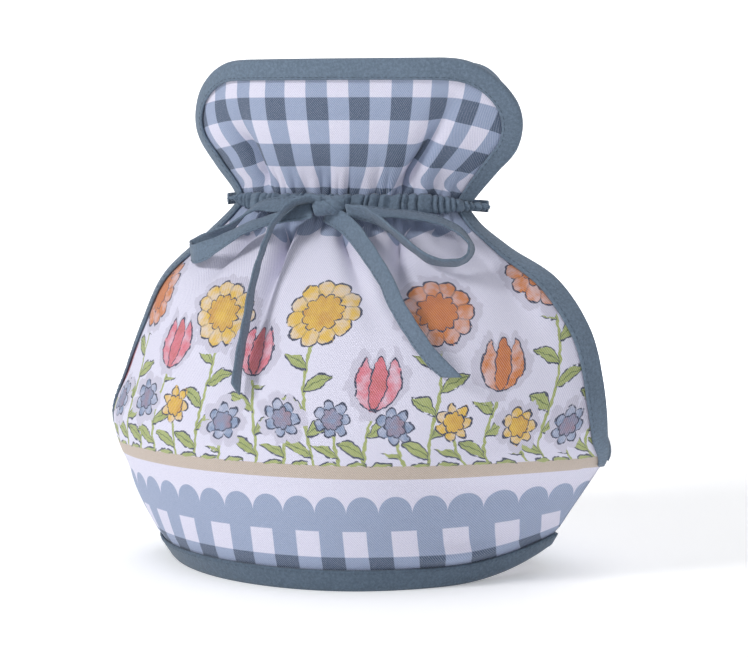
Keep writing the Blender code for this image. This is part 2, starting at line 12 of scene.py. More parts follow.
import bpy
import numpy as np
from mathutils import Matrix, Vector


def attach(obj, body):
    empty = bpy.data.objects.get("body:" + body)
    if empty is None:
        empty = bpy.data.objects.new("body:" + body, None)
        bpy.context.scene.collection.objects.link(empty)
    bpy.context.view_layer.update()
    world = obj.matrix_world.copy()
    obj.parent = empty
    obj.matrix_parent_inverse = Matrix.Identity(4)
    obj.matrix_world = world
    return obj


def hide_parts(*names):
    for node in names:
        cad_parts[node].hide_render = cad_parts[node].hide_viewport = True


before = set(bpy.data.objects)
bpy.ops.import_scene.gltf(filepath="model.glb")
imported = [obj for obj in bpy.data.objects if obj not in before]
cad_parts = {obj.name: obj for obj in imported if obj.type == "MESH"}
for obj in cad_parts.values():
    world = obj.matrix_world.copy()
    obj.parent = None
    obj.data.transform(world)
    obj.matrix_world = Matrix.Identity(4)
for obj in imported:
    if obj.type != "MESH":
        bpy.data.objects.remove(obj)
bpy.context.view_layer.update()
MM = 0.001
print("frame nodes:", sorted(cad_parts))

# %% [markdown]
# ## The cloth map
#
# A panel is cut flat, X across and Y up from the hem, in millimetres. A rib says where one row
# of the cloth goes in space. Between ribs, every value follows a smooth curve. The same map
# places everything that is sewn to the panel.
#
# Gathered cloth could also be simulated. A map is used here, because the drape has to match a
# known shape, stay the same each run and carry bindings, channel and print with it.

# %% Sizes of the flat cloth
NECK_REACH = 168.0
TOP_REACH = 228.0
CORNER_RADIUS = 36.0
SLIT_REACH = 42.0
BODY_THICK = 2.4
NECK_THICK = 1.6
BOUND_THICK = 1.5
BOUND_REACH = 9.0
THIN_RAMP = 4.0
GAP = 0.3
ORIGIN_SHIFT = np.array([4.9, 0.0, 0.0])
print("panel, mm:", TOP_REACH, "tall, gathered at", NECK_REACH)

# %% The ribs
Rib = namedtuple(
    "Rib",
    "reach half x_mid y_mid z_mid x_left y_left z_left turn_left x_right y_right z_right turn_right",
)
RIBS = (
    Rib(0, 109, -7, -65.0, 1.5, -91, 0, 1.5, 72, 75, 0, 11.5, 60),
    Rib(14, 118, -7, -69.0, 14.5, -99, 0, 13.0, 74, 80, 0, 20.0, 60),
    Rib(30, 127, -7, -73.0, 30.5, -107, 0, 28.5, 76, 87, 0, 31.0, 60),
    Rib(42, 132, -7, -75.5, 42.5, -110.5, 0, 40.0, 78, 94, 0, 41.5, 58),
    Rib(48, 132, -7, -76.5, 48.5, -111, -4, 46.0, 80, 99, -6, 47.0, 56),
    Rib(63, 130, -7, -77.5, 63.0, -111, -13, 61.5, 78, 102, -18, 62.5, 52),
    Rib(81, 121, -7, -75.5, 81.0, -103.5, -18, 80.5, 70, 100.5, -21, 83.0, 50),
    Rib(100, 112, -7, -69.5, 99.5, -96, -19, 99.5, 66, 95, -20, 102.5, 48),
    Rib(119, 100, -7, -59.0, 116.0, -87, -17, 119.5, 70, 82, -17, 120.5, 50),
    Rib(141, 85, -7, -44.0, 132.5, -69, -12, 137.5, 74, 60, -12, 133.5, 56),
    Rib(159, 77, -8, -30.0, 144.5, -59, -7, 148.5, 66, 45, -7, 144.5, 60),
    Rib(168, 75, -8, -24.5, 151.5, -57, -5, 152.5, 55, 41, -6, 151.0, 55),
    Rib(176, 76, -7, -25.5, 159.0, -59, -5, 157.5, 50, 45, -7, 156.0, 40),
    Rib(189, 79, -5, -29.5, 171.5, -67, -5, 168.0, 52, 55.0, -12, 166.0, 30),
    Rib(204, 83, -4, -33.5, 186.5, -75.5, -5, 181.5, 60, 66.5, -17, 177.5, 28),
    Rib(218, 85, -4, -36.5, 200.0, -76.5, -6, 193.5, 62, 74.5, -21, 188.5, 28),
    Rib(228, 86, -4, -38.0, 209.5, -75, -8, 202.0, 60, 77.0, -24, 196.5, 28),
)
BACK_DRAWN_IN = 13.0
BACK_DRAW_START = 44.0
BACK_DRAW_FULL = 70.0
COLLAR_DRAWN_IN = 3.0
COLLAR_DRAW_FULL = 204.0
END_SHARE = 0.5
print("ribs:", len(RIBS), "from", RIBS[0].reach, "to", RIBS[-1].reach)

# %% [markdown]
# ## Folds and gathers
#
# Drawn in at the neck, the cloth falls in a few deep folds with fine gathers between them. The
# folds are troughs that widen and fade away from the neck. The gathers are waves that die out
# within a few centimetres. Both push the cloth in along its own normal.

# %% Sizes of the folds and gathers
# drift moves a trough across for each millimetre from its start
Fold = namedtuple("Fold", "start across drift length width depth")
BODY_FOLDS = (
    Fold(162, -25, 0.06, 105, 6.0, 7.0),
    Fold(160, -42, -0.38, 62, 5.5, 3.5),
    Fold(160, 3, 0.42, 72, 5.5, 4.5),
    Fold(160, 34, -0.05, 62, 6.0, 5.5),
    Fold(150, 72, 0.30, 85, 12.0, 3.0),
)
COLLAR_FOLDS = (
    Fold(169, 32, 0.41, 56, 5.5, 7.0),
    Fold(169, -47, 0.00, 54, 5.0, 5.0),
    Fold(182, -47, -0.32, 40, 5.0, 3.0),
    Fold(169, -10, -0.05, 30, 6.0, 2.0),
)
FOLD_DEEPER = 1.3
FOLD_START = 12.0
GATHER_WAVE = 15.0
GATHER_DEPTH = 1.5
GATHER_FADE = 17.0
FLAT_BY_EDGE = 8.0
FOLD_OFF_EDGE = 14.0
GATHER_OFF_EDGE = 10.0

# The fine gathers that only the dressed cloth has
PUCKER_WAVE = 6.3
PUCKER_DEPTH = 0.75
PUCKER_FADE = 12.0
NECK_THIN_FADE = 14.0

# Where the cloth sags out over the hem strip: across, up, half width, half height, rise
Sag = namedtuple("Sag", "across up wide high rise")
HEM_SAG = Sag(62.0, 13.2, 20.0, 3.0, 2.4)
print("folds on the body and the collar:", len(BODY_FOLDS), len(COLLAR_FOLDS))


# %% [markdown]
# ## From tables to a surface
#
# Each value of the ribs becomes one smooth curve up the panel. A row of cloth is then a cubic
# curve on each side of its middle, walked at an even pace, so that the print is not stretched.

# %% Curves through the tables
def smooth_through(stations, values, at):
    """Read a smooth curve through the values at the stations."""
    stations = np.asarray(stations, float)
    values = np.asarray(values, float)
    at = np.clip(at, stations[0], stations[-1])
    slopes = np.gradient(values, stations)
    index = np.clip(np.searchsorted(stations, at) - 1, 0, len(stations) - 2)
    span = stations[index + 1] - stations[index]
    t = (at - stations[index]) / span
    start = values[index] * (1 + 2 * t) * (1 - t) ** 2
    end = values[index + 1] * t * t * (3 - 2 * t)
    bend = span * t * (1 - t) * (slopes[index] * (1 - t) - slopes[index + 1] * t)
    return start + end + bend


def ease(value):
    """Go from 0 to 1 with level ends."""
    value = np.clip(value, 0.0, 1.0)
    return value * value * (3 - 2 * value)


def bezier(start, first, last, end, t):
    """A point of a cubic curve."""
    return start * (1 - t) ** 3 + 3 * first * t * (1 - t) ** 2 + 3 * last * t * t * (1 - t) + end * t**3


# %% The map from flat cloth to space
class Cloth:
    """One panel: flat places in millimetres, carried into space in millimetres."""

    def __init__(self, side, drawn_in=0.0):
        self.side = side
        self.reach = [rib.reach for rib in RIBS]
        self.column = {name: [getattr(rib, name) for rib in RIBS] for name in Rib._fields}
        if drawn_in:
            draw = (np.array(self.reach) - BACK_DRAW_START) / (BACK_DRAW_FULL - BACK_DRAW_START)
            more = (np.array(self.reach) - NECK_REACH) / (COLLAR_DRAW_FULL - NECK_REACH)
            drawn = drawn_in * ease(draw) + COLLAR_DRAWN_IN * ease(more)
            self.column["x_right"] = np.array(self.column["x_right"]) - drawn

    def rib(self, name, up):
        return smooth_through(self.reach, self.column[name], up)

    def half(self, up):
        return self.rib("half", up)

    def smooth(self, across, up):
        """The cloth's middle surface without its folds."""
        across, up = np.broadcast_arrays(np.asarray(across, float), np.asarray(up, float))
        share = across / self.half(up)
        right = share > 0
        away = np.abs(share)
        sign = np.where(right, 1.0, -1.0)
        pick = {}
        for name in ("x", "y", "z", "turn"):
            pick[name] = np.where(right, self.rib(name + "_right", up), self.rib(name + "_left", up))
        start = np.stack([self.rib("x_mid", up), self.rib("y_mid", up)], -1)
        end = np.stack([pick["x"], pick["y"]], -1)
        turn = np.radians(pick["turn"])
        handle = np.linalg.norm(end - start, axis=-1) * (2 / 3) * np.tan(turn / 4) / np.sin(turn / 2)
        first = start + np.stack([sign * handle, 0 * handle], -1)
        last = end - np.stack([sign * handle * np.cos(turn), handle * np.sin(turn)], -1)
        ticks = np.linspace(0, 1, 25)
        curve = [bezier(start, first, last, end, tick) for tick in ticks]
        steps = [np.linalg.norm(b - a, axis=-1) for a, b in zip(curve, curve[1:])]
        run = np.concatenate([[0 * steps[0]], np.cumsum(steps, 0)])
        want = away * run[-1]
        before = np.clip((run <= want).sum(0) - 1, 0, len(steps) - 1)
        base = np.take_along_axis(run, before[None], 0)[0]
        step = np.take_along_axis(np.array(steps), before[None], 0)[0]
        t = (before + (want - base) / step) / (len(ticks) - 1)
        plan = bezier(start, first, last, end, t[..., None])
        ends = np.clip((away - END_SHARE) / (1 - END_SHARE), 0, 1) ** 2
        height = self.rib("z_mid", up) + (pick["z"] - self.rib("z_mid", up)) * ends
        return np.stack([plan[..., 0], plan[..., 1] * self.side, height], -1)

    def normal_of(self, surface, across, up, step=0.5):
        """Outward unit normal of a surface given as a function of flat places."""
        up = np.clip(up, step, TOP_REACH - step)
        dx = surface(across + step, up) - surface(across - step, up)
        dy = surface(across, up + step) - surface(across, up - step)
        normal = np.cross(dx, dy) * self.side
        return normal / np.linalg.norm(normal, axis=-1, keepdims=True)

    def fold_depth(self, across, up):
        """How far the folds and gathers push the cloth in at a flat place."""
        depth = np.zeros(np.broadcast(across, up).shape)
        for folds, way in ((BODY_FOLDS, -1.0), (COLLAR_FOLDS, 1.0)):
            for fold in folds:
                along = (up - fold.start) * way
                middle = fold.across + fold.drift * along
                spread = fold.width * (0.6 + 0.6 * along / fold.length)
                trough = np.exp(-(((across - middle) / np.maximum(spread, 2.0)) ** 2))
                fade = ease(along / FOLD_START) * ease(1 - along / fold.length)
                depth = depth + FOLD_DEEPER * fold.depth * trough * fade * (along > 0)
        beat = 1 + 0.35 * np.sin(across * 0.13 + 1.0)
        wave = np.cos(2 * math.pi * across / GATHER_WAVE + 0.9 * np.sin(across * 0.11))
        fade = np.exp(-(((up - NECK_REACH) / GATHER_FADE) ** 2))
        inset = self.half(up) - np.abs(across) - FLAT_BY_EDGE
        inside = ease(inset / GATHER_OFF_EDGE)
        depth = depth * ease(inset / FOLD_OFF_EDGE)
        depth = depth + GATHER_DEPTH * (1 - wave * beat) * 0.5 * fade * inside
        pucker = np.cos(2 * math.pi * across / PUCKER_WAVE + 1.7 * np.sin(across * 0.19 + 0.4))
        close = np.exp(-(((up - NECK_REACH) / PUCKER_FADE) ** 2))
        depth = depth + PUCKER_DEPTH * pucker * close * inside
        sag = ((across - HEM_SAG.across) / HEM_SAG.wide) ** 2 + ((up - HEM_SAG.up) / HEM_SAG.high) ** 2
        return depth - (self.side > 0) * HEM_SAG.rise * np.exp(-sag)

    def surface(self, across, up):
        """The cloth's middle surface with its folds."""
        normal = self.normal_of(self.smooth, across, up)
        return self.smooth(across, up) - normal * self.fold_depth(across, up)[..., None]

    def normal(self, across, up):
        return self.normal_of(self.surface, across, up)

    def thickness(self, across, up):
        """Full thickness, thinner at the neck and where an edge is bound."""
        neck = np.exp(-(((up - NECK_REACH) / NECK_THIN_FADE) ** 2))
        thick = BODY_THICK - (BODY_THICK - NECK_THICK) * neck
        slope = (self.half(up + 1) - self.half(up - 1)) / 2
        from_side = (self.half(up) - np.abs(across)) / np.hypot(1, slope)
        side = np.where(up > SLIT_REACH, from_side, BODY_THICK * 100)
        edge = np.minimum(np.minimum(side, TOP_REACH - up), up)
        corner = np.hypot(
            np.maximum(np.abs(across) - (self.half(up) - CORNER_RADIUS), 0),
            np.maximum(up - (TOP_REACH - CORNER_RADIUS), 0),
        )
        edge = np.minimum(edge, np.where(up > SLIT_REACH, CORNER_RADIUS - corner, edge))
        open_up = ease((edge - BOUND_REACH) / THIN_RAMP)
        return np.minimum(thick, BOUND_THICK + (thick - BOUND_THICK) * open_up)


def place_of_share(cloth, share, up):
    """Flat place of a share of the half width in a row, with the top corners rounded."""
    half = cloth.half(up)
    across = share * half
    p = (np.abs(across) - (half - CORNER_RADIUS)) / CORNER_RADIUS
    q = (up - (TOP_REACH - CORNER_RADIUS)) / CORNER_RADIUS
    inside = (p > 0) & (q > 0)
    pc = np.clip(p, 0, 1)
    qc = np.clip(q, 0, 1)
    new_across = half - CORNER_RADIUS + CORNER_RADIUS * pc * np.sqrt(1 - qc**2 / 2)
    new_up = TOP_REACH - CORNER_RADIUS + CORNER_RADIUS * qc * np.sqrt(1 - pc**2 / 2)
    across = np.where(inside, np.sign(across) * new_across, across)
    return across, np.where(inside, new_up, up)


front = Cloth(1.0)
back = Cloth(-1.0, BACK_DRAWN_IN)
print("neck middle, mm:", np.round(front.surface(np.array([0.0]), np.array([NECK_REACH]))[0], 1))

# %% [markdown]
# ## Node trees in words
#
# A shader could be built node by node, with a link for each. Here it is written as sums: `Paint`
# adds a node for each word and links it, so that a pattern reads from top to bottom, like the
# formula that it is.


# %% A small way to write shaders
class Paint:
    """Adds shader nodes to a material and links them."""

    def __init__(self, name):
        self.material = bpy.data.materials.new(name)
        self.material.use_nodes = True
        self.tree = self.material.node_tree
        self.shader = self.tree.nodes["Principled BSDF"]

    def node(self, kind, inputs=(), **settings):
        """A node with its settings, its inputs set or linked by position or name."""
        made = self.tree.nodes.new(kind)
        for key, value in settings.items():
            setattr(made, key, value)
        for key, value in dict(inputs).items():
            self.put(made.inputs[key], value)
        return made

    def put(self, socket, value):
        if isinstance(value, bpy.types.NodeSocket):
            self.tree.links.new(value, socket)
        else:
            socket.default_value = value

    def math(self, operation, *values, clamp=False):
        made = self.node("ShaderNodeMath", enumerate(values), operation=operation, use_clamp=clamp)
        return made.outputs[0]

    def add(self, *values):
        total = values[0]
        for value in values[1:]:
            total = self.math("ADD", total, value)
        return total

    def sub(self, a, b):
        return self.math("SUBTRACT", a, b)

    def mul(self, *values):
        total = values[0]
        for value in values[1:]:
            total = self.math("MULTIPLY", total, value)
        return total

    def both(self, *masks):
        """1 where every mask is 1."""
        total = masks[0]
        for mask in masks[1:]:
            total = self.math("MINIMUM", total, mask)
        return total

    def either(self, *masks):
        """1 where any mask is 1."""
        total = masks[0]
        for mask in masks[1:]:
            total = self.math("MAXIMUM", total, mask)
        return total

    def under(self, value, limit, soft=0.12):
        """1 where value is under limit, with an edge soft millimetres wide."""
        away = self.sub(limit, value)
        return self.math("MULTIPLY_ADD", away, 1.0 / soft, 0.5, clamp=True)

    def outside(self, mask):
        return self.sub(1.0, mask)

    def wrap(self, value, period):
        """value in one period, from 0 up."""
        return self.math("FLOORED_MODULO", value, period)

    def step_of(self, value, period):
        """The number of the period that value lies in."""
        return self.math("FLOOR", self.math("DIVIDE", value, period))

    def noise(self, vector, scale, detail=2.0, rough=0.5):
        """Smooth noise round 0.5."""
        inputs = {"Vector": vector, "Scale": scale, "Detail": detail, "Roughness": rough}
        return self.node("ShaderNodeTexNoise", inputs).outputs["Fac"]

    def chance(self, number, seed):
        """Three random values for a number."""
        vector = self.node("ShaderNodeCombineXYZ", {0: number, 1: seed}).outputs[0]
        colour = self.node("ShaderNodeTexWhiteNoise", {"Vector": vector}).outputs["Color"]
        return self.node("ShaderNodeSeparateXYZ", {0: colour}).outputs

    def vector(self, x, y, z=0.0):
        return self.node("ShaderNodeCombineXYZ", {0: x, 1: y, 2: z}).outputs[0]

    def mix(self, mask, below, above, blend="MIX"):
        """The colour above over the colour below, where the mask is 1."""
        made = self.tree.nodes.new("ShaderNodeMix")
        made.data_type = "RGBA"
        made.blend_type = blend
        self.put(made.inputs[0], mask)
        self.put(made.inputs[6], below)
        self.put(made.inputs[7], above)
        return made.outputs[2]


def tint(red, green, blue):
    """A colour given as on a screen, 0 to 255, as the linear colour that nodes take."""
    shares = [value / 255 for value in (red, green, blue)]
    return (*[((share + 0.055) / 1.055) ** 2.4 for share in shares], 1.0)


print("painting words:", [word for word in vars(Paint) if not word.startswith("_")])

# %% [markdown]
# ## Colours
#
# Screen values, chosen one by one. The cloth is a cool white with two blues that the check mixes from
# one dye. The bindings and the tie are a greyer blue; the hem strip is painted darker, a painted shade
# along the hem.

# %% The palette
WHITE = tint(230, 228, 243)
MID_BLUE = tint(154, 169, 196)
DARK_BLUE = tint(72, 92, 116)
BEIGE = tint(202, 186, 168)
INK = tint(40, 52, 78)
ORANGE = tint(216, 128, 52)
YELLOW = tint(233, 190, 64)
PINK = tint(226, 118, 132)
GREEN = tint(140, 156, 74)
PALE_GREEN = tint(196, 204, 130)
VEIN_GREEN = tint(104, 122, 62)
HEART_BROWN = tint(176, 84, 40)
BERRY = tint(132, 152, 182)
BINDING_BLUE = tint(105, 122, 140)
# Painted shade: the hem strip is a darker blue than the bindings, for the shade along the hem.
HEM_SHADE_BLUE = tint(88, 105, 122)
THREAD_BLUE = tint(76, 90, 107)
# The rib tops are painted lighter, a painted highlight, and the furrows darker, a painted shade.
TWILL_HIGHLIGHT = 0.62
TWILL_SHADE = tint(206, 208, 222)
HALO = tint(210, 207, 222)
print("dark check, linear:", [round(value, 3) for value in DARK_BLUE[:3]])

# %% [markdown]
# ## The printed cotton
#
# The print reads the piece's own UV map, whose unit is `PRINT_SCALE` millimetres of cloth. From
# the hem up it has gingham, a row of scallops, a plain stripe, a garden of flowers, scallops
# again and the collar's gingham. Nodes paint it, and no picture does: every edge stays sharp
# however close the camera comes, and the print bends with the cloth because the map does.

# %% Sizes of the print, in millimetres
PRINT_SCALE = 300.0
CHECK = 18.9
CHECK_START = 6.55
SCALLOP = 12.6
SCALLOP_START = -7.3
DARK_TOP = 14.2
WHITE_TOP = 25.0
BAND_TOP = 32.0
SCALLOP_HEIGHT = 7.3
STRIPE_LOW = 46.5
STRIPE_HIGH = 52.0
COLLAR_BAND_LOW = 157.5
COLLAR_BAND_HIGH = 166.0
COLLAR_CHECK_START = 4.7
COLLAR_ROW_START = 166.0
TWILL = 0.92
print("checks across the panel:", round(2 * 109 / CHECK, 1))


def gingham(p, u, v, start, row_blue):
    """Check cloth: mid blue where a column or a row is blue, dark where both are."""
    column = p.under(p.wrap(p.sub(u, start), CHECK), CHECK / 2, 0.35)
    one = p.either(column, row_blue)
    two = p.both(column, row_blue)
    colour = p.mix(one, WHITE, MID_BLUE)
    return p.mix(two, colour, DARK_BLUE)


def scallop_edge(p, u, height):
    """Height of a row of round scallops over their dips."""
    across = p.sub(p.wrap(p.sub(u, SCALLOP_START), SCALLOP), SCALLOP / 2)
    share = p.math("DIVIDE", across, SCALLOP / 2)
    inside = p.math("SUBTRACT", 1.0, p.mul(share, share), clamp=True)
    return p.mul(p.math("SQRT", inside), height)


# %% [markdown]
# ### The garden
#
# Rows of plants stand on the plain stripe. One set of nodes paints a whole row: it cuts the
# cloth into columns, gives each column its own random height, lean and hue, and paints the
# stem, the leaves and the flower in the column's own coordinates. Drawing each plant by hand
# would take far more nodes, and chance keeps the row from looking stamped.

# %% One row of plants
Plants = namedtuple("Plants", "pitch start low high size petals kind fill second seed")
GARDEN = (
    Plants(47.0, 4.0, 108.0, 126.0, 14.5, 11.0, "marigold", ORANGE, YELLOW, 3.0),
    Plants(47.0, 27.5, 84.0, 98.0, 11.5, 3.0, "tulip", PINK, ORANGE, 8.0),
    Plants(23.5, 15.5, 62.5, 73.0, 7.5, 7.0, "daisy", YELLOW, BERRY, 5.0),
)
LEAF_PITCH = 17.0
LEAF_LENGTH = 11.0
LEAF_WIDTH = 2.6
STEM_WIDTH = 0.65
INK_WIDTH = 0.42
HALO_REACH = 3.2


def ink_line(p, distance, breaks, width=INK_WIDTH):
    """A hand-drawn line where distance is near 0, with gaps where breaks is low."""
    thick = p.mul(p.math("ADD", breaks, 0.45, clamp=False), width)
    line = p.under(p.math("ABSOLUTE", distance), thick, 0.3)
    return p.both(line, p.outside(p.under(breaks, 0.36, 0.06)))


def flower_edge(p, plants, x, y):
    """How far a place lies past the flower's edge, and the flower's inner ring and petal lines."""
    if plants.kind == "tulip":
        rise = p.math("DIVIDE", p.add(y, plants.size), plants.size * 2)
        bowed = p.math("POWER", p.math("MAXIMUM", rise, 0.001), 0.7)
        belly = p.math("SINE", p.mul(bowed, math.pi * 0.86))
        wide = p.mul(p.math("MAXIMUM", belly, 0.0), plants.size * 0.78)
        side = p.sub(p.math("ABSOLUTE", x), wide)
        tips = p.math("ABSOLUTE", p.math("COSINE", p.mul(x, math.pi * 1.5 / (plants.size * 0.78))))
        top = p.sub(y, p.mul(p.add(p.mul(tips, 0.5), 0.35), plants.size))
        edge = p.either(side, p.either(top, p.sub(-plants.size * 0.96, y)))
        inner = p.sub(p.math("ABSOLUTE", x), p.mul(wide, 0.36))
        return edge, inner, inner
    radius = p.math("SQRT", p.add(p.mul(x, x), p.mul(y, y)))
    angle = p.math("ARCTAN2", y, x)
    lobe = p.math("ABSOLUTE", p.math("COSINE", p.mul(angle, plants.petals / 2)))
    deep = 0.16 if plants.kind == "marigold" else 0.42
    edge = p.sub(radius, p.mul(p.add(p.mul(p.math("POWER", lobe, 0.6), deep), 1 - deep), plants.size))
    turned = p.math("ABSOLUTE", p.math("SINE", p.mul(angle, plants.petals / 2)))
    inner = p.sub(radius, p.mul(p.add(p.mul(turned, 0.14), 0.50), plants.size * 0.9))
    gap = p.mul(lobe, p.mul(radius, 2 / plants.petals))
    return edge, inner, gap


def plant_row(p, u, v, wash, breaks, ground, plants):
    """Paint one row of plants over the ground colour."""
    shifted = p.sub(u, plants.start - plants.pitch / 2)
    cell = p.step_of(shifted, plants.pitch)
    luck = p.chance(cell, plants.seed)
    top = p.add(p.mul(luck[0], plants.high - plants.low), plants.low)
    local = p.sub(p.wrap(shifted, plants.pitch), plants.pitch / 2)
    grown = p.sub(v, STRIPE_HIGH)
    lean = p.mul(p.math("SINE", p.add(p.mul(v, 0.075), p.mul(luck[1], 6.28))), 2.4)
    x = p.sub(local, lean)
    above = p.under(-0.2, grown)
    below_head = p.under(v, p.sub(top, plants.size * 0.6))
    stem = p.both(p.under(p.math("ABSOLUTE", x), STEM_WIDTH), above, below_head)
    side = p.under(0.0, x, 0.01)
    rise = p.wrap(p.add(grown, p.mul(side, LEAF_PITCH / 2)), LEAF_PITCH)
    reach = p.math("DIVIDE", p.math("ABSOLUTE", x), LEAF_LENGTH, clamp=True)
    middle = p.add(p.mul(p.math("SQRT", reach), 6.5), 2.5)
    wide = p.mul(p.math("SINE", p.mul(p.math("POWER", reach, 0.75), math.pi)), LEAF_WIDTH)
    off_leaf = p.sub(p.math("ABSOLUTE", p.sub(rise, middle)), wide)
    on_leaf = p.under(p.math("ABSOLUTE", x), LEAF_LENGTH)
    leafy = p.both(above, on_leaf, p.under(v, p.sub(top, plants.size + 3.0)))
    leaf = p.both(p.under(off_leaf, 0.0), leafy)
    leaf_line = p.both(ink_line(p, p.sub(off_leaf, 0.25), breaks, 0.34), leafy)
    vein = p.both(p.under(p.math("ABSOLUTE", p.sub(rise, middle)), 0.22), leaf)
    green = p.mix(p.math("MULTIPLY", wash, 0.9, clamp=True), GREEN, PALE_GREEN)
    colour = p.mix(p.either(stem, leaf), ground, green)
    colour = p.mix(vein, colour, VEIN_GREEN)
    colour = p.mix(leaf_line, colour, INK)
    y = p.sub(v, top)
    edge, inner, petal_gap = flower_edge(p, plants, x, y)
    hue = p.mix(p.under(luck[2], 0.45, 0.01), plants.fill, plants.second)
    pale = p.mix(0.62, hue, WHITE)
    petals = p.mix(p.math("MULTIPLY_ADD", wash, 3.4, -1.35, clamp=True), hue, pale)
    deep = p.mix(0.45, hue, HEART_BROWN)
    heart = p.mix(p.math("MULTIPLY_ADD", wash, 3.0, -1.0, clamp=True), deep, hue)
    halo = p.under(p.add(edge, p.mul(p.sub(wash, 0.5), 9.0)), HALO_REACH, 0.5)
    colour = p.mix(p.both(halo, p.under(luck[1], 0.7, 0.01)), colour, HALO)
    head = p.under(p.add(edge, p.mul(p.sub(wash, 0.5), 2.0)), 0.0, 0.3)
    colour = p.mix(head, colour, petals)
    colour = p.mix(p.both(p.under(inner, 0.0, 0.3), head), colour, heart)
    outline = p.both(ink_line(p, p.add(edge, 0.2), breaks), p.under(edge, 1.5))
    middle_line = p.both(ink_line(p, inner, breaks, 0.3), p.under(edge, 0.0))
    petal_line = p.both(p.under(petal_gap, 0.26, 0.2), p.under(edge, -0.8), p.under(0.5, inner), breaks)
    colour = p.mix(p.either(outline, middle_line), colour, INK)
    return p.mix(p.mul(petal_line, 0.75), colour, INK)


def garden(p, u, v, ground):
    """All the rows of plants, the tallest behind."""
    place = p.vector(u, v)
    wash = p.noise(place, 0.16, 3.0, 0.62)
    breaks = p.noise(place, 0.42, 1.0)
    wobble = p.mul(p.sub(p.noise(place, 0.30, 2.0), 0.5), 2.6)
    sway = p.mul(p.sub(p.noise(p.vector(v, u), 0.27, 2.0), 0.5), 2.6)
    colour = ground
    for plants in GARDEN:
        colour = plant_row(p, p.add(u, wobble), p.add(v, sway), wash, breaks, colour, plants)
    return colour


# %% [markdown]
# ### The whole print, its weave and its wrong side
#
# Cotton twill has fine diagonal ribs. Their tops are painted lighter, a painted highlight, and the
# furrows between them are painted darker, a painted shade. One wave across the slant gives the ribs,
# fibre noise breaks them up, and both also lift the surface. The wrong side shows the print only
# faintly.


# %% The printed cloth
def printed_cloth():
    """The front and back panels' cotton twill."""
    p = Paint("printed_twill")
    uv = p.node("ShaderNodeUVMap", uv_map="print").outputs[0]
    place = p.node("ShaderNodeSeparateXYZ", {0: uv}).outputs
    wander = p.noise(uv, 9.0, 1.0)
    u = p.add(p.mul(p.sub(place[0], 0.5), PRINT_SCALE), p.mul(p.sub(wander, 0.5), 0.8))
    v = p.mul(place[1], PRINT_SCALE)
    dark_row = p.under(v, DARK_TOP, 0.35)
    hem = gingham(p, u, v, CHECK_START, dark_row)
    solid = p.under(WHITE_TOP, v, 0.35)
    hem = p.mix(solid, hem, MID_BLUE)
    over = p.sub(v, p.add(scallop_edge(p, u, SCALLOP_HEIGHT), BAND_TOP))
    stripe = p.both(p.under(STRIPE_LOW, v, 0.3), p.under(v, STRIPE_HIGH, 0.3))
    ground = p.mix(stripe, WHITE, BEIGE)
    ground = garden(p, u, v, ground)
    low = p.mix(p.under(0.0, over, 0.3), hem, ground)
    collar_row = p.under(p.wrap(p.sub(v, COLLAR_ROW_START), CHECK), CHECK / 2, 0.35)
    collar = gingham(p, u, v, COLLAR_CHECK_START, collar_row)
    collar = p.mix(p.under(v, COLLAR_BAND_HIGH, 0.3), collar, MID_BLUE)
    hang = p.sub(COLLAR_BAND_LOW, p.add(scallop_edge(p, u, SCALLOP_HEIGHT), v))
    print_colour = p.mix(p.under(hang, 0.0, 0.3), low, collar)
    fibre = p.noise(p.vector(p.mul(u, 1.2), p.mul(v, 1.2)), 1.6, 3.0)
    drawn = p.add(u, p.mul(v, 0.8), p.mul(fibre, 0.5))
    twill = p.math("SINE", p.mul(drawn, 2 * math.pi / TWILL))
    thread = p.math("MULTIPLY_ADD", twill, 0.5, 0.5)
    # Painted highlight: the rib tops are mixed towards white.
    lit = p.mul(p.math("POWER", thread, 1.6), p.math("MULTIPLY_ADD", fibre, 0.85, -0.08))
    colour = p.mix(p.mul(lit, TWILL_HIGHLIGHT), print_colour, WHITE)
    # Painted shade: the furrows between the ribs are darkened.
    furrow = p.mul(p.outside(thread), p.math("MULTIPLY_ADD", fibre, 1.1, -0.05))
    colour = p.mix(furrow, colour, TWILL_SHADE, "MULTIPLY")
    wrong = p.node("ShaderNodeAttribute", attribute_name="wrong_side").outputs["Fac"]
    colour = p.mix(p.mul(wrong, 0.82), colour, WHITE)
    height = p.add(p.mul(thread, 0.6), p.mul(fibre, 0.8))
    bump = p.node("ShaderNodeBump", {"Height": height, "Distance": 0.00016, "Strength": 0.8})
    p.put(p.shader.inputs["Base Color"], colour)
    p.put(p.shader.inputs["Normal"], bump.outputs[0])
    p.put(p.shader.inputs["Roughness"], p.math("MULTIPLY_ADD", fibre, 0.12, 0.78))
    p.shader.inputs["Sheen Weight"].default_value = 0.12
    p.shader.inputs["Sheen Roughness"].default_value = 0.6
    p.shader.inputs["Specular IOR Level"].default_value = 0.25
    return p.material


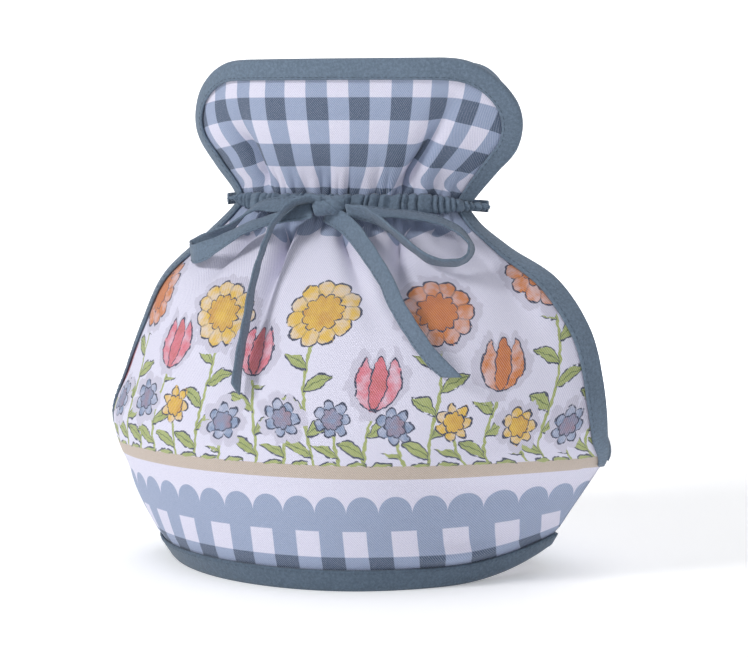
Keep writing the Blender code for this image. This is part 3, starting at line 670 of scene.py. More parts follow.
def plain_cloth(name, colour, spread):
    """The blue-grey cotton of the bindings and the tie: a fine plain weave whose high spots are painted
    lighter, a painted highlight.
    """
    p = Paint(name)
    place = p.node("ShaderNodeTexCoord").outputs["Object"]
    weave = p.noise(place, 900.0, 2.0, 0.7)
    cloud = p.noise(place, 70.0, 3.0)
    tone = p.math("MULTIPLY_ADD", cloud, 0.9, -0.2, clamp=True)
    shade = p.mix(tone, tuple(c * (1 - spread) for c in colour[:3]) + (1.0,), colour)
    # Painted highlight: the weave's high spots are mixed towards a paler blue.
    lit = p.math("MULTIPLY_ADD", weave, 1.6, -0.62, clamp=True)
    pale = tuple(min(c * (1 + 2.2 * spread) + 0.02, 1.0) for c in colour[:3]) + (1.0,)
    shade = p.mix(p.mul(lit, 0.8), shade, pale)
    height = p.add(weave, p.mul(cloud, 0.7))
    bump = p.node("ShaderNodeBump", {"Height": height, "Distance": 0.0004, "Strength": 0.8})
    p.put(p.shader.inputs["Base Color"], shade)
    p.put(p.shader.inputs["Normal"], bump.outputs[0])
    p.put(p.shader.inputs["Roughness"], p.math("MULTIPLY_ADD", weave, 0.15, 0.75))
    p.shader.inputs["Sheen Weight"].default_value = 0.15
    p.shader.inputs["Sheen Roughness"].default_value = 0.55
    p.shader.inputs["Specular IOR Level"].default_value = 0.25
    return p.material


PRINT = printed_cloth()
BINDING = plain_cloth("binding_cotton", BINDING_BLUE, 0.22)
# Painted shade: the hem strip's cotton takes the darker blue.
HEM_SHADED_COTTON = plain_cloth("hem_cotton", HEM_SHADE_BLUE, 0.22)
THREAD = plain_cloth("thread", THREAD_BLUE, 0.15)
print("print nodes:", len(PRINT.node_tree.nodes))

# %% [markdown]
# ## Making meshes
#
# Each piece is points in millimetres, worked out with the cloth map, and then moved to the
# frame's origin. It rides on the only body and takes the material that it is given. Strips
# and tapes are lofts: a section is carried along, and each is joined to the one before.


# %% Helpers for pieces
def add_piece(name, points, faces, material, replaces=()):
    """A smooth mesh object of points in millimetres that rides on the root."""
    mesh = bpy.data.meshes.new(name)
    mesh.from_pydata(((points + ORIGIN_SHIFT) * MM).tolist(), [], faces)
    mesh.shade_smooth()
    mesh.materials.append(material)
    piece = bpy.data.objects.new(name, mesh)
    bpy.context.scene.collection.objects.link(piece)
    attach(piece, "root")
    if replaces:
        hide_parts(*replaces)
    return piece


def loft(name, sections, material, ring=False, replaces=()):
    """Join closed sections one after another, as a ring or with an end face at each end."""
    sections = np.asarray(sections)
    count, size = sections.shape[:2]
    rows = np.arange(count if ring else count - 1)[:, None]
    corner = np.arange(size)[None]
    after = (corner + 1) % size
    here = rows * size
    there = (rows + 1) % count * size
    quads = np.stack([here + corner, here + after, there + after, there + corner], -1)
    faces = [tuple(quad) for quad in quads.reshape(-1, 4).tolist()]
    if not ring:
        faces.append(tuple(range(size))[::-1])
        faces.append(tuple((count - 1) * size + index for index in range(size)))
    piece = add_piece(name, sections.reshape(-1, 3), faces, material, replaces)
    face_out(piece)
    return piece


def face_out(piece):
    """Turn a closed piece's faces outwards."""
    corners = np.zeros(len(piece.data.vertices) * 3)
    piece.data.vertices.foreach_get("co", corners)
    corners = corners.reshape(-1, 3)
    piece.data.calc_loop_triangles()
    index = np.array([tuple(tri.vertices) for tri in piece.data.loop_triangles])
    a, b, c = corners[index[:, 0]], corners[index[:, 1]], corners[index[:, 2]]
    if (a * np.cross(b, c)).sum() < 0:
        piece.data.flip_normals()


# %% [markdown]
# ## The two panels
#
# A panel is an outer and an inner skin over the same flat places, joined at the rim. Its print
# coordinate across a row is the cloth's own run along the folded row, so that the checks bunch
# up where the folds take cloth up. A grid with a Solidify modifier would be quicker to write, but
# it can't thin at the bound edges or mitre at the side seams.

# %% Panel spacing
PANEL_COLUMNS = 210
PANEL_ROWS = 190
COLLAR_TAKE_UP = 0.15
COLLAR_TAKE_FROM = 28.0
COLLAR_TAKE_OVER = 34.0
COLLAR_TAKE_RISE = 12.0
HEM_GIVE = 0.14
HEM_GIVE_FROM = 20.0
HEM_GIVE_OVER = 90.0
HEM_GIVE_UNDER = 60.0
HEM_GIVE_FADE = 20.0
NECK_CROWDING = 0.055
print("panel grid:", PANEL_COLUMNS + 2, "by", PANEL_ROWS)


def panel_grid():
    """Shares of the half width and flat heights, closer together round the neck."""
    share = np.concatenate([[-1], np.linspace(-0.985, 0.985, PANEL_COLUMNS), [1]])
    shares = np.linspace(0, 1, PANEL_ROWS)
    near_neck = NECK_CROWDING * np.sin(2 * math.pi * (shares - NECK_REACH / TOP_REACH))
    up = TOP_REACH * (shares - near_neck * np.sin(math.pi * shares))
    up = np.sort(np.concatenate([up[np.abs(up - SLIT_REACH) > 0.8], [SLIT_REACH]]))
    return np.meshgrid(share, up)


def print_run(cloth, across, up):
    """The run along the folded cloth from its middle, in millimetres."""
    folded = cloth.surface(across, up)
    plain = cloth.smooth(across, up)
    ratio = np.linalg.norm(np.diff(folded, axis=1), axis=-1)
    ratio = ratio / np.maximum(np.linalg.norm(np.diff(plain, axis=1), axis=-1), 1e-6)
    step = np.diff(across, axis=1) * np.clip(ratio, 1.0, 2.2)
    run = np.concatenate([0 * across[:, :1], np.cumsum(step, axis=1)], axis=1)
    middle = across.shape[1] // 2
    run = run - run[:, middle : middle + 1] + across[:, middle : middle + 1]
    more = COLLAR_TAKE_UP * ease((np.abs(across) - COLLAR_TAKE_FROM) / COLLAR_TAKE_OVER)
    by_side = ease((across - HEM_GIVE_FROM) / HEM_GIVE_OVER)
    less = HEM_GIVE * by_side * ease((HEM_GIVE_UNDER - up) / HEM_GIVE_FADE)
    return run * (1 + more * ease((up - NECK_REACH) / COLLAR_TAKE_RISE) - less)


def add_panel(name, cloth, node):
    share, up = panel_grid()
    across, high = place_of_share(cloth, share, up)
    middle = cloth.surface(across, high)
    normal = cloth.normal(across, high)
    seam = (np.abs(share) > 0.999) & (up < SLIT_REACH + 0.5)
    flat = normal.copy()
    flat[..., 1] = 0
    mitre = flat / np.maximum(1 - normal[..., 1:2] ** 2, 0.05)
    normal = np.where(seam[..., None], mitre, normal)
    middle[..., 1] = np.where(seam, -cloth.side * GAP / 2, middle[..., 1])
    half = cloth.thickness(across, high)[..., None] / 2
    rows, columns = share.shape
    skins = (middle + normal * half, middle - normal * half)
    points = np.concatenate([skin_points.reshape(-1, 3) for skin_points in skins])
    skin = rows * columns
    corner = (np.arange(rows - 1)[:, None] * columns + np.arange(columns - 1)[None]).reshape(-1)
    quads = np.stack([corner, corner + 1, corner + columns + 1, corner + columns], -1)
    rim = list(range(columns))
    rim += [row * columns + columns - 1 for row in range(1, rows)]
    rim += [(rows - 1) * columns + column for column in range(columns - 2, -1, -1)]
    rim += [row * columns for row in range(rows - 2, 0, -1)]
    rim = np.array(rim)
    ahead = np.roll(rim, -1)
    edge = np.stack([ahead, rim, rim + skin, ahead + skin], -1)
    faces = np.concatenate([quads, (quads + skin)[:, ::-1], edge]).tolist()
    piece = add_piece(name, points, faces, PRINT, [node])
    face_out(piece)
    run = print_run(cloth, across, high)
    flat_place = np.stack([0.5 + run / PRINT_SCALE, high / PRINT_SCALE], -1).reshape(-1, 2)
    loops = np.zeros(len(piece.data.loops), int)
    piece.data.loops.foreach_get("vertex_index", loops)
    layer = piece.data.uv_layers.new(name="print")
    layer.data.foreach_set("uv", flat_place[loops % skin].astype(np.float32).ravel())
    inner = piece.data.attributes.new("wrong_side", "FLOAT", "POINT")
    inner.data.foreach_set("value", np.repeat([0.0, 1.0], skin).astype(np.float32))
    return piece


panels = {
    "front": add_panel("front_cloth", front, "front_panel"),
    "back": add_panel("back_cloth", back, "back_panel"),
}
print("panel triangles:", {name: 2 * len(piece.data.polygons) for name, piece in panels.items()})

# %% [markdown]
# ## The bindings
#
# A folded strip covers each free edge: a soft round fold outside the edge and two legs along
# the cloth. Sewing draws it into tiny puckers. A bevelled curve could follow the edge, but its
# section would not turn with the cloth, so the section is laid on the cloth's own normals.

# %% Sizes of the bindings
SLACK = 0.1
BINDING_LEG = 1.0
BINDING_WIDTH = 7.5
BINDING_START = 48.0
BINDING_TAPER = 14.0
FOLD_NOSE = slice(8, 9)
PUCKER_PITCH = 5.2
PUCKER_RISE = 0.14
HEM_WIDTH = 8.5
HEM_RISE = 1.5
HEM_TILT_ROOM = 0.35
HEM_STATIONS = 170
print("bindings, mm:", BINDING_WIDTH, "and", HEM_WIDTH, "wide")


def bound_rim(cloth):
    """Places round a panel's bound edge, their run, and the flat way into the cloth."""
    sides = np.linspace(BINDING_START, TOP_REACH, 120)
    top = np.linspace(-1, 1, 122)[1:-1]
    share = np.concatenate([-np.ones(len(sides)), top, np.ones(len(sides))])
    up = np.concatenate([sides, np.full(len(top), TOP_REACH), sides[::-1]])
    across, high = place_of_share(cloth, share, up)
    run = np.concatenate([[0], np.cumsum(np.hypot(np.diff(across), np.diff(high)))])
    along = np.stack([np.gradient(across, run), np.gradient(high, run)], -1)
    along /= np.linalg.norm(along, axis=1, keepdims=True)
    square = np.stack([along[:, 1], -along[:, 0]], -1)
    by_row = np.stack([-share, 0 * share], -1) / np.abs(along[:, 1:2]).clip(0.2)
    straight_side = (np.abs(share) > 0.999) & (up < TOP_REACH - CORNER_RADIUS)
    return across, high, run, np.where(straight_side[:, None], by_row, square)


def puckers(run):
    """Small uneven bumps along a sewn strip, from 0 to 1."""
    wave = np.sin(2 * math.pi * run / PUCKER_PITCH + 1.3 * np.sin(run * 0.31))
    beat = 0.6 + 0.4 * np.sin(run * 0.17 + 2.0)
    return 0.5 + 0.5 * wave * beat


def hollow_section(width, middle, half):
    """The inner faces of a folded strip, where the cloth lies."""
    below = [(width, -half), (middle, -half), (-GAP, -half)]
    return below + [(depth, -lift) for depth, lift in reversed(below)]


def fold_profile(width, leg, bulge, half):
    """Depth into the cloth and lift off it, round a folded strip's section."""
    outer = half + leg
    top = [(width, outer * 0.93), (width * 0.9, outer + bulge * 0.3), (width * 0.6, outer + bulge)]
    top += [(width * 0.3, outer + bulge), (0.2, outer)]
    turn = np.radians(np.linspace(70, -70, 7))
    nose = [(0.1 - (GAP + leg + 0.1) * math.cos(a), outer * math.sin(a)) for a in turn]
    bottom = [(depth, -lift) for depth, lift in reversed(top)]
    rows = top + nose + bottom + hollow_section(width, width / 2, half)
    depth = np.stack([row[0] + 0 * width for row in rows], -1)
    lift = np.stack([row[1] + 0 * width for row in rows], -1)
    return depth, lift


def add_edge_binding(name, cloth, node):
    across, up, run, inward = bound_rim(cloth)
    half = BOUND_THICK / 2 + GAP + SLACK
    grown = ease((np.minimum(run, run[-1] - run) + 2) / BINDING_TAPER)
    width = 3.0 + (BINDING_WIDTH - 3.0) * grown
    leg = BINDING_LEG * (0.8 + 0.2 * grown)
    depth, lift = fold_profile(width, leg, PUCKER_RISE * puckers(run), half)
    reach = np.maximum(depth, 0.0)
    place = across[:, None] + inward[:, :1] * reach
    high = up[:, None] + inward[:, 1:] * reach
    base = cloth.surface(place, high)
    normal = cloth.normal(place, high)
    way = base[:, :1] - base[:, FOLD_NOSE]
    nose = normal[:, FOLD_NOSE]
    way = way - nose * (way * nose).sum(-1, keepdims=True)
    way /= np.linalg.norm(way, axis=-1, keepdims=True)
    sections = base + np.minimum(depth, 0)[..., None] * way + normal * lift[..., None]
    return loft(name, sections, BINDING, replaces=[node])


def hem_sections(cloth, share):
    """The hem strip's sections at shares of the half width: two legs and a flat foot."""
    half = BOUND_THICK / 2 + GAP + SLACK
    outer = half + BINDING_LEG
    swell = outer + PUCKER_RISE * puckers((share + 1) * cloth.half(0.0))
    leg = [(HEM_WIDTH, outer * 0.93), (7.4, swell), (5.6, swell), (3.8, swell)]
    leg += [(2.0, outer), (0.8, outer), (0.0, outer - 0.3)]
    other = [(depth, -lift) for depth, lift in reversed(leg)]
    rows = leg + other + hollow_section(HEM_WIDTH, 4.2, half)
    depth = np.array([row[0] for row in rows])
    lift = np.stack([row[1] + 0 * share for row in rows], -1)
    reach = np.maximum(depth, 0.0)
    share = share[:, None]
    across = share * cloth.half(reach)
    base = cloth.surface(across, reach)
    normal = cloth.normal(across, reach)
    rise = cloth.surface(share * cloth.half(reach + 1.0), reach + 1.0) - base
    seam = np.abs(share)[..., None] > 0.999
    flat = normal * (1.0, 0.0, 1.0)
    normal = np.where(seam, flat / np.maximum(1 - normal[..., 1:2] ** 2, 0.05), normal)
    base = np.where(seam, base * (1.0, 0.0, 1.0), base)
    rise = np.where(seam, rise * (1.0, 0.0, 1.0), rise)
    section = base + normal * lift[..., None]
    floor = base[..., 2] - np.where(depth < 0, GAP + HEM_TILT_ROOM, HEM_RISE)
    drop = np.where(depth <= 0, (floor - section[..., 2]) / rise[..., 2], 0.0)
    return section + rise * drop[..., None]


def add_hem():
    shares = np.linspace(-1, 1, HEM_STATIONS)
    sections = np.concatenate([hem_sections(front, shares), hem_sections(back, shares[-2:0:-1])])
    return loft("hem_strip", sections, HEM_SHADED_COTTON, ring=True, replaces=["hem_binding"])


front_binding = add_edge_binding("front_binding", front, "front_edge_binding")
back_binding = add_edge_binding("back_binding", back, "back_edge_binding")
hem_strip = add_hem()
print("binding faces:", len(front_binding.data.polygons), len(hem_strip.data.polygons))

# %% [markdown]
# ## The ruffled channel
#
# The tie runs in a channel that is sewn over the neck. Drawn up, it stands in round ruffles with
# sharp valleys between them, uneven in width and height. The ruffles are one closed form, so they
# are a wave in the height of a loft. Its seeds are numbers in the wave, the same each run.

# %% Sizes of the channel
CASING_HEIGHT = 11.0
CASING_TURN = 15.0
CASING_LEFT = 3.5
CASING_RIGHT = 8.0
CHANNEL_STATIONS = 560
RUFFLE = 5.3
RUFFLE_TIGHT = 3.3
RUFFLE_RISE = 2.6
CHANNEL_BASE = 1.0
print("channel, mm:", CASING_HEIGHT, "tall, ruffles", RUFFLE_TIGHT, "to", RUFFLE, "apart")


def beyond(cloth, across, up, turn):
    """Smooth surface places that may lie past the cloth's side edge, and their outward way."""
    half = cloth.half(up)
    kept = np.clip(across, -half, half)
    place = cloth.smooth(kept, up)
    normal = cloth.normal_of(cloth.smooth, np.clip(kept, 1 - half, half - 1), up)
    extra = np.maximum(np.abs(across) - half, 0)[..., None]
    angle = math.radians(turn)
    level = np.zeros(np.shape(extra)[:-1])
    inward = level + cloth.side * math.sin(angle)
    away = np.stack([np.sign(across) * math.cos(angle), inward, level], -1)
    return place + extra * away, normal


def ruffle_at(across, seed):
    """Round ruffles with sharp valleys, from 0 in a valley to 1, and a chance for each ruffle."""
    pitch = RUFFLE + (RUFFLE_TIGHT - RUFFLE) * ease((np.abs(across) - 44) / 22)
    step = np.gradient(across[:, 0])[:, None] / pitch
    slow = 0.28 * np.sin(across * 0.31 + seed)
    quick = 0.16 * np.sin(across * 0.67 + 2 * seed)
    phase = np.cumsum(step, 0) + slow + quick
    luck = np.sin(np.floor(phase) * 12.9898 + seed) * 43758.5453 % 1.0
    return np.abs(np.sin(math.pi * phase)) ** 0.7, luck


def add_channel(name, cloth, node, seed):
    half = float(cloth.half(NECK_REACH))
    across = np.linspace(-half - CASING_LEFT, half + CASING_RIGHT, CHANNEL_STATIONS)[:, None]
    from_end = np.minimum((across - across[0]) * 2.0, across[-1] - across)
    full = 0.35 + 0.65 * np.sqrt(np.clip(from_end / 9.0, 0, 1))
    upright = 0.66 + 0.34 * np.sqrt(np.clip(from_end / 5.0, 0, 1))
    over_binding = ease((np.abs(across) - (half - 16)) / 6)
    inner = NECK_THICK / 2 + GAP + 0.1 + (BINDING_LEG + GAP + 0.1) * over_binding
    lobe, luck = ruffle_at(across, seed)
    thick = (CHANNEL_BASE + RUFFLE_RISE * (0.72 + 0.28 * luck) * lobe) * full
    tall = CASING_HEIGHT / 2 * upright * (0.82 + 0.18 * lobe)
    turn = np.radians(np.linspace(-90, 90, 15))
    lean = (luck - 0.5) * lobe
    rise = np.sin(turn) * tall + 0.6 * lean
    crease = 1 - 0.16 * np.exp(-(((turn - 0.9 * lean - 0.2) / 0.16) ** 2)) * (luck > 0.35)
    lift = np.abs(np.cos(turn)) ** 0.6 * thick * crease + 0.25
    rise = np.concatenate([-tall * 0.92, rise, tall * 0.92], 1)
    lift = np.concatenate([0 * tall, lift, 0 * tall], 1)
    place, normal = beyond(cloth, across + 0 * rise, NECK_REACH + rise, CASING_TURN)
    sections = place + normal * (inner + lift)[..., None]
    return loft(name, sections, BINDING, replaces=[node])


front_channel = add_channel("front_channel", front, "front_casing", 0.7)
back_channel = add_channel("back_channel", back, "back_casing", 2.9)
print("channel faces:", len(front_channel.data.polygons))

# %% [markdown]
# ## Where the photo was taken from
#
# The camera's place, turn and lens were fitted to the hem's curve, the collar's rim and the
# stripe. Its values come before the bow, because they say which place of the cloth lies behind a
# pixel of the photo. A pixel gives no depth, so a place is searched for on the cloth map: the map
# is asked where a flat place would show, and Newton's method moves that place until it shows at
# the pixel.

# %% Values of the camera
CAMERA_AT = Vector((0.2680, -0.8607, 0.1845))
CAMERA_TURN = math.radians(17.0)
CAMERA_DOWN = math.radians(5.464)
LENS = 103.14
SENSOR = 36.0
PHOTO_WIDTH = 748.0
PHOTO_HEIGHT = 658.0

# The search, in millimetres of flat cloth
SEARCH_FROM = (0.0, 150.0)
SEARCH_TURNS = 40
SEARCH_NUDGE = 0.01
LONGEST_MOVE = 15.0
PLACE_DIGITS = 1


def camera_look():
    """The unit direction in which the camera looks."""
    flat = math.cos(CAMERA_DOWN)
    return Vector((-math.sin(CAMERA_TURN) * flat, math.cos(CAMERA_TURN) * flat, -math.sin(CAMERA_DOWN)))


# %% From the photo to the cloth
def shown_at(places):
    """Pixels of the photo where places of the cloth show, given in its millimetres."""
    look = np.array(camera_look())
    right = np.cross(look, (0.0, 0.0, 1.0))
    right /= np.linalg.norm(right)
    away = places + ORIGIN_SHIFT - np.array(CAMERA_AT) / MM
    scale = PHOTO_WIDTH * LENS / SENSOR / (away @ look)
    px = PHOTO_WIDTH / 2 + scale * (away @ right)
    py = PHOTO_HEIGHT / 2 - scale * (away @ np.cross(right, look))
    return np.stack([px, py], -1)


def flat_places(cloth, pixels, lifts):
    """Flat places of the cloth behind pixels of the photo, for points lifted off the cloth."""
    pixels = np.asarray(pixels, float)
    lifts = np.asarray(lifts, float)[:, None]

    def miss(flat):
        across, up = flat.T
        normal = cloth.normal_of(cloth.smooth, across, up)
        return shown_at(cloth.smooth(across, up) + normal * lifts) - pixels

    flat = np.tile(SEARCH_FROM, (len(pixels), 1))
    for _ in range(SEARCH_TURNS):
        here = miss(flat)
        by_across = (miss(flat + (SEARCH_NUDGE, 0.0)) - here) / SEARCH_NUDGE
        by_up = (miss(flat + (0.0, SEARCH_NUDGE)) - here) / SEARCH_NUDGE
        move = np.linalg.solve(np.stack([by_across, by_up], -1), -here[..., None])[..., 0]
        flat = flat + np.clip(move, -LONGEST_MOVE, LONGEST_MOVE)
    print(f"{len(flat)} places found, off by at most {np.abs(miss(flat)).max():.4f} px")
    return np.round(flat, PLACE_DIGITS)


# %% [markdown]
# ## The bow
#
# The tie is a narrow folded tape. Its loops and free tails follow routes over the cloth. A route
# is a row of marks. A mark is a pixel on the middle of the tape, read off the photo, with
# the lift off the cloth and the lie of the tape's width, which the photo only hints at and which
# were chosen. A curve with a bevel twists as it likes, so the tape is a loft that is told which
# way its width lies at each place.

# %% Routes of the tape
TAPE_WIDTH = 8.0
TAPE_THICK = 1.15
SLANT_FADE = 10.0
# right, rise and near say how the tape's width lies for someone who looks at the front
Mark = namedtuple("Mark", "px py lift right rise near")
Way = namedtuple("Way", "across up lift right rise near")
LEFT_LOOP = (
    Mark(317, 206, 6.5, 0, -0.75, 0.66),
    Mark(305, 204, 6.6, 0, -0.75, 0.66),
    Mark(292, 203.5, 6.8, 0, -0.7, 0.7),
    Mark(279, 204.6, 7, 0, -0.7, 0.7),
    Mark(262, 204.8, 7.2, 0.05, -0.45, 0.9),
    Mark(250, 210.4, 7.2, 0, -0.1, 1),
    Mark(240, 219, 6.8, 0, 0.1, 1),
    Mark(228, 229, 6.0, -0.2, 0.45, 0.85),
    Mark(214, 238, 5.0, -0.25, 0.8, 0.5),
    Mark(203, 244, 4.2, -0.15, 0.97, 0.2),
    Mark(194, 249, 3.8, -0.08, 1, 0),
    Mark(191.5, 252.5, 5.4, -0.08, 1, 0),
    Mark(195, 254, 7.2, -0.08, 1, -0.05),
    Mark(204, 251, 8.2, -0.2, 0.95, -0.2),
    Mark(214, 246, 9.0, -0.38, 0.63, -0.67),
    Mark(228, 238, 9.4, -0.25, 0.45, -0.85),
    Mark(241, 230.5, 9.4, -0.2, 0.4, -0.89),
    Mark(255, 224.5, 9.2, -0.13, 0.43, -0.89),
    Mark(270, 220, 9.0, -0.1, 0.45, -0.88),
    Mark(284, 216.5, 9, -0.1, 0.55, -0.82),
    Mark(298, 213, 9, -0.1, 0.7, -0.7),
    Mark(312, 210, 9, 0, 0.8, -0.6),
)
RIGHT_LOOP = (
    Mark(344, 211.5, 5.8, 0, -0.75, 0.66),
    Mark(356, 211.5, 6.2, 0, -0.7, 0.7),
    Mark(374.7, 212.4, 6.6, 0, -0.5, 0.86),
    Mark(397, 213.6, 7, 0, -0.38, 0.92),
    Mark(419.5, 216.2, 7.2, 0, -0.38, 0.92),
    Mark(437.4, 220.3, 7.5, -0.08, -0.34, 0.93),
    Mark(453, 227, 8, -0.15, -0.25, 0.95),
    Mark(464.2, 236, 8.4, -0.2, -0.12, 0.97),
    Mark(470.3, 246, 8.6, -0.22, 0, 0.97),
    Mark(467.6, 256, 8.6, -0.22, 0.12, 0.97),
    Mark(459.8, 262.3, 8.6, -0.12, 0.3, 0.94),
    Mark(450.8, 263.3, 8.4, 0, 0.38, 0.92),
    Mark(439.6, 262.8, 8.2, 0.05, 0.39, 0.92),
    Mark(426.2, 258.3, 8.2, 0.15, 0.33, 0.93),
    Mark(412.8, 248.2, 8.6, 0.18, 0.22, 0.95),
    Mark(399.4, 237, 9.2, 0.18, 0.22, 0.95),
    Mark(386, 225.9, 10, 0.18, 0.26, 0.94),
    Mark(374.7, 217.9, 10.6, 0.2, 0.45, 0.86),
    Mark(362, 213, 10.6, 0.15, 0.7, 0.7),
    Mark(347, 212, 10.2, 0.1, 0.8, 0.6),
)
LEFT_TAIL = (
    Mark(322, 203, 11.5, 0, 0.6, 0.8),
    Mark(310, 199.5, 12.6, -0.1, 0.5, 0.85),
    Mark(298, 202, 13.4, -0.15, 0.3, 0.94),
    Mark(287, 208, 13.6, -0.15, 0.2, 0.97),
    Mark(277, 219, 13.4, -0.15, 0.1, 0.98),
    Mark(271, 228, 12.8, -0.16, 0.05, 0.98),
    Mark(267, 238, 12, -0.17, 0, 0.98),
    Mark(262, 251, 11, -0.17, 0, 0.98),
    Mark(258, 264, 9.8, -0.2, 0, 0.98),
    Mark(253.5, 281, 8.4, -0.22, 0, 0.97),
    Mark(250, 300, 7.2, -0.25, 0, 0.97),
    Mark(247, 319, 6.6, -0.28, 0, 0.96),
    Mark(243, 339, 6.4, -0.3, 0, 0.95),
    Mark(240, 356, 6.3, -0.33, 0, 0.94),
    Mark(237, 377, 6.3, -0.36, 0, 0.93),
    Mark(235.5, 389, 6.3, -0.38, 0, 0.92),
)
RIGHT_TAIL = (
    Mark(326, 213, 6, 0.3, 0.9, 0.3),
    Mark(334, 217, 6.2, 0.45, 0.85, 0.3),
    Mark(343, 222.5, 6.2, 0.6, 0.72, 0.35),
    Mark(354.6, 233.7, 6.2, 0.68, 0.55, 0.48),
    Mark(365.8, 249.3, 6.2, 0.7, 0.35, 0.6),
    Mark(375.9, 265, 6.1, 0.66, 0.34, 0.66),
    Mark(386, 281.8, 6, 0.66, 0.34, 0.66),
    Mark(396.5, 305, 5.8, 0.68, 0.36, 0.63),
    Mark(413.6, 332.5, 5.6, 0.68, 0.42, 0.6),
    Mark(430.8, 356.4, 5.4, 0.64, 0.5, 0.58),
    Mark(451, 377, 5.2, 0.56, 0.58, 0.58),
)
FRONT_WAYS = np.array(
    [
        (math.cos(CAMERA_TURN), math.sin(CAMERA_TURN), 0.0),
        (0.0, 0.0, 1.0),
        (math.sin(CAMERA_TURN), -math.cos(CAMERA_TURN), 0.0),
    ]
)


def route_on(cloth, marks):
    """The ways of a route over the cloth, from its marks on the photo."""
    flat = flat_places(cloth, [(mark.px, mark.py) for mark in marks], [mark.lift for mark in marks])
    return [
        Way(across, up, mark.lift, mark.right, mark.rise, mark.near)
        for (across, up), mark in zip(flat, marks)
    ]


TAPE_ROUTES = {
    "left_loop": route_on(front, LEFT_LOOP),
    "right_loop": route_on(front, RIGHT_LOOP),
    "left_tail": route_on(front, LEFT_TAIL),
    "right_tail": route_on(front, RIGHT_TAIL),
}
print("places on the routes:", {name: len(ways) for name, ways in TAPE_ROUTES.items()})


def tape_places(cloth, ways, spacing):
    """Places along a route, the way the tape's width lies there, and the run."""
    stations = np.arange(len(ways), dtype=float)
    coarse = np.linspace(0, len(ways) - 1, 40 * len(ways))
    across, up, lift, right, rise, near = [
        smooth_through(stations, [getattr(way, name) for way in ways], coarse) for name in Way._fields
    ]
    normal = cloth.normal_of(cloth.smooth, across, up)
    place = cloth.smooth(across, up) + normal * lift[:, None]
    wide = np.stack([right, rise, near], -1) @ FRONT_WAYS
    run = np.concatenate([[0], np.cumsum(np.linalg.norm(np.diff(place, axis=0), axis=1))])
    at = np.linspace(0, run[-1], int(run[-1] / spacing) + 2)

    def even(value):
        return np.stack([np.interp(at, run, value[:, axis]) for axis in range(3)], -1)

    return even(place), even(wide), at


def tape_frame(places, widths):
    """The tape's run, width and face directions at its places."""
    along = np.gradient(places, axis=0)
    along /= np.linalg.norm(along, axis=1, keepdims=True)
    wide = widths - along * (widths * along).sum(1, keepdims=True)
    wide /= np.linalg.norm(wide, axis=1, keepdims=True)
    return along, wide, np.cross(along, wide)


def tape_profile():
    """Across and off the face, round the section of a folded tape: one edge folded, one sewn."""
    half = TAPE_WIDTH / 2
    thick = TAPE_THICK / 2
    top = [(-0.97, 0.35), (-0.88, 0.8), (-0.74, 0.45), (-0.6, 0.85)]
    top += [(-0.2, 1.0), (0.3, 1.0), (0.75, 1.0), (0.93, 0.8)]
    round_edge = [(1.0, 0.0)]
    below = [(x, -y) for x, y in reversed(top)]
    shape = top + round_edge + below + [(-1.0, 0.0)]
    return np.array([(x * half, y * thick) for x, y in shape])


def tape_bend(run, share):
    """How far soft cupping and crumples lift a share of the tape's half width off its plane."""
    cup = 0.3 * np.sin(run * 0.09 + 1.0)
    crumple = 0.14 * np.sin(run * 0.55 + 0.8 * np.sin(run * 0.17))
    return cup * (share**2 - 0.4) + crumple * share


def add_tape(name, cloth, node, slant=(0.0, 0.0)):
    """One stretch of tape. slant cuts its two ends across."""
    places, widths, run = tape_places(cloth, TAPE_ROUTES[name], 1.0)
    along, wide, face = tape_frame(places, widths)
    profile = tape_profile()
    off = profile[:, 1] + tape_bend(run[:, None], profile[:, 0] / (TAPE_WIDTH / 2))
    at_start = np.maximum(0.0, 1 - run / SLANT_FADE)
    at_end = np.maximum(0.0, 1 - (run[-1] - run) / SLANT_FADE)
    skew = slant[0] * at_start - slant[1] * at_end
    shift = skew[:, None] * profile[:, 0]
    sections = places[:, None] + along[:, None] * shift[..., None]
    sections = sections + wide[:, None] * profile[:, :1] + face[:, None] * off[..., None]
    return loft(name, sections, BINDING, replaces=[node])


tapes = {
    "left_loop": add_tape("left_loop", front, "bow_left_loop"),
    "right_loop": add_tape("right_loop", front, "bow_right_loop"),
    "left_tail": add_tape("left_tail", front, "tie_left_tail", (0.0, 0.5)),
    "right_tail": add_tape("right_tail", front, "tie_right_tail", (0.0, -0.7)),
}
print("tape faces:", {name: len(piece.data.polygons) for name, piece in tapes.items()})

# %% [markdown]
# ## The knot and the side ties
#
# The knot is the tape wrapped once round itself, slanting, with creases where it was pulled. Only
# its outside shows, so it is a swelling loft with the wrap and the creases worked into its size.
# Where the tie crosses a slit, it is a plain stretch of tape from one channel to the other.

# %% Knot
KNOT_ACROSS = 0.2
KNOT_UP = 160.0
KNOT_LIFT = 9.2
KNOT_HALF_LENGTH = 6.8
KNOT_HALF_HEIGHT = 4.0
KNOT_HALF_DEPTH = 4.4
KNOT_SLANT = math.radians(16.0)
SIDE_TIE_INSETS = {-1.0: 1.1, 1.0: 1.8}
SIDE_TIE_WIDTH = 5.0


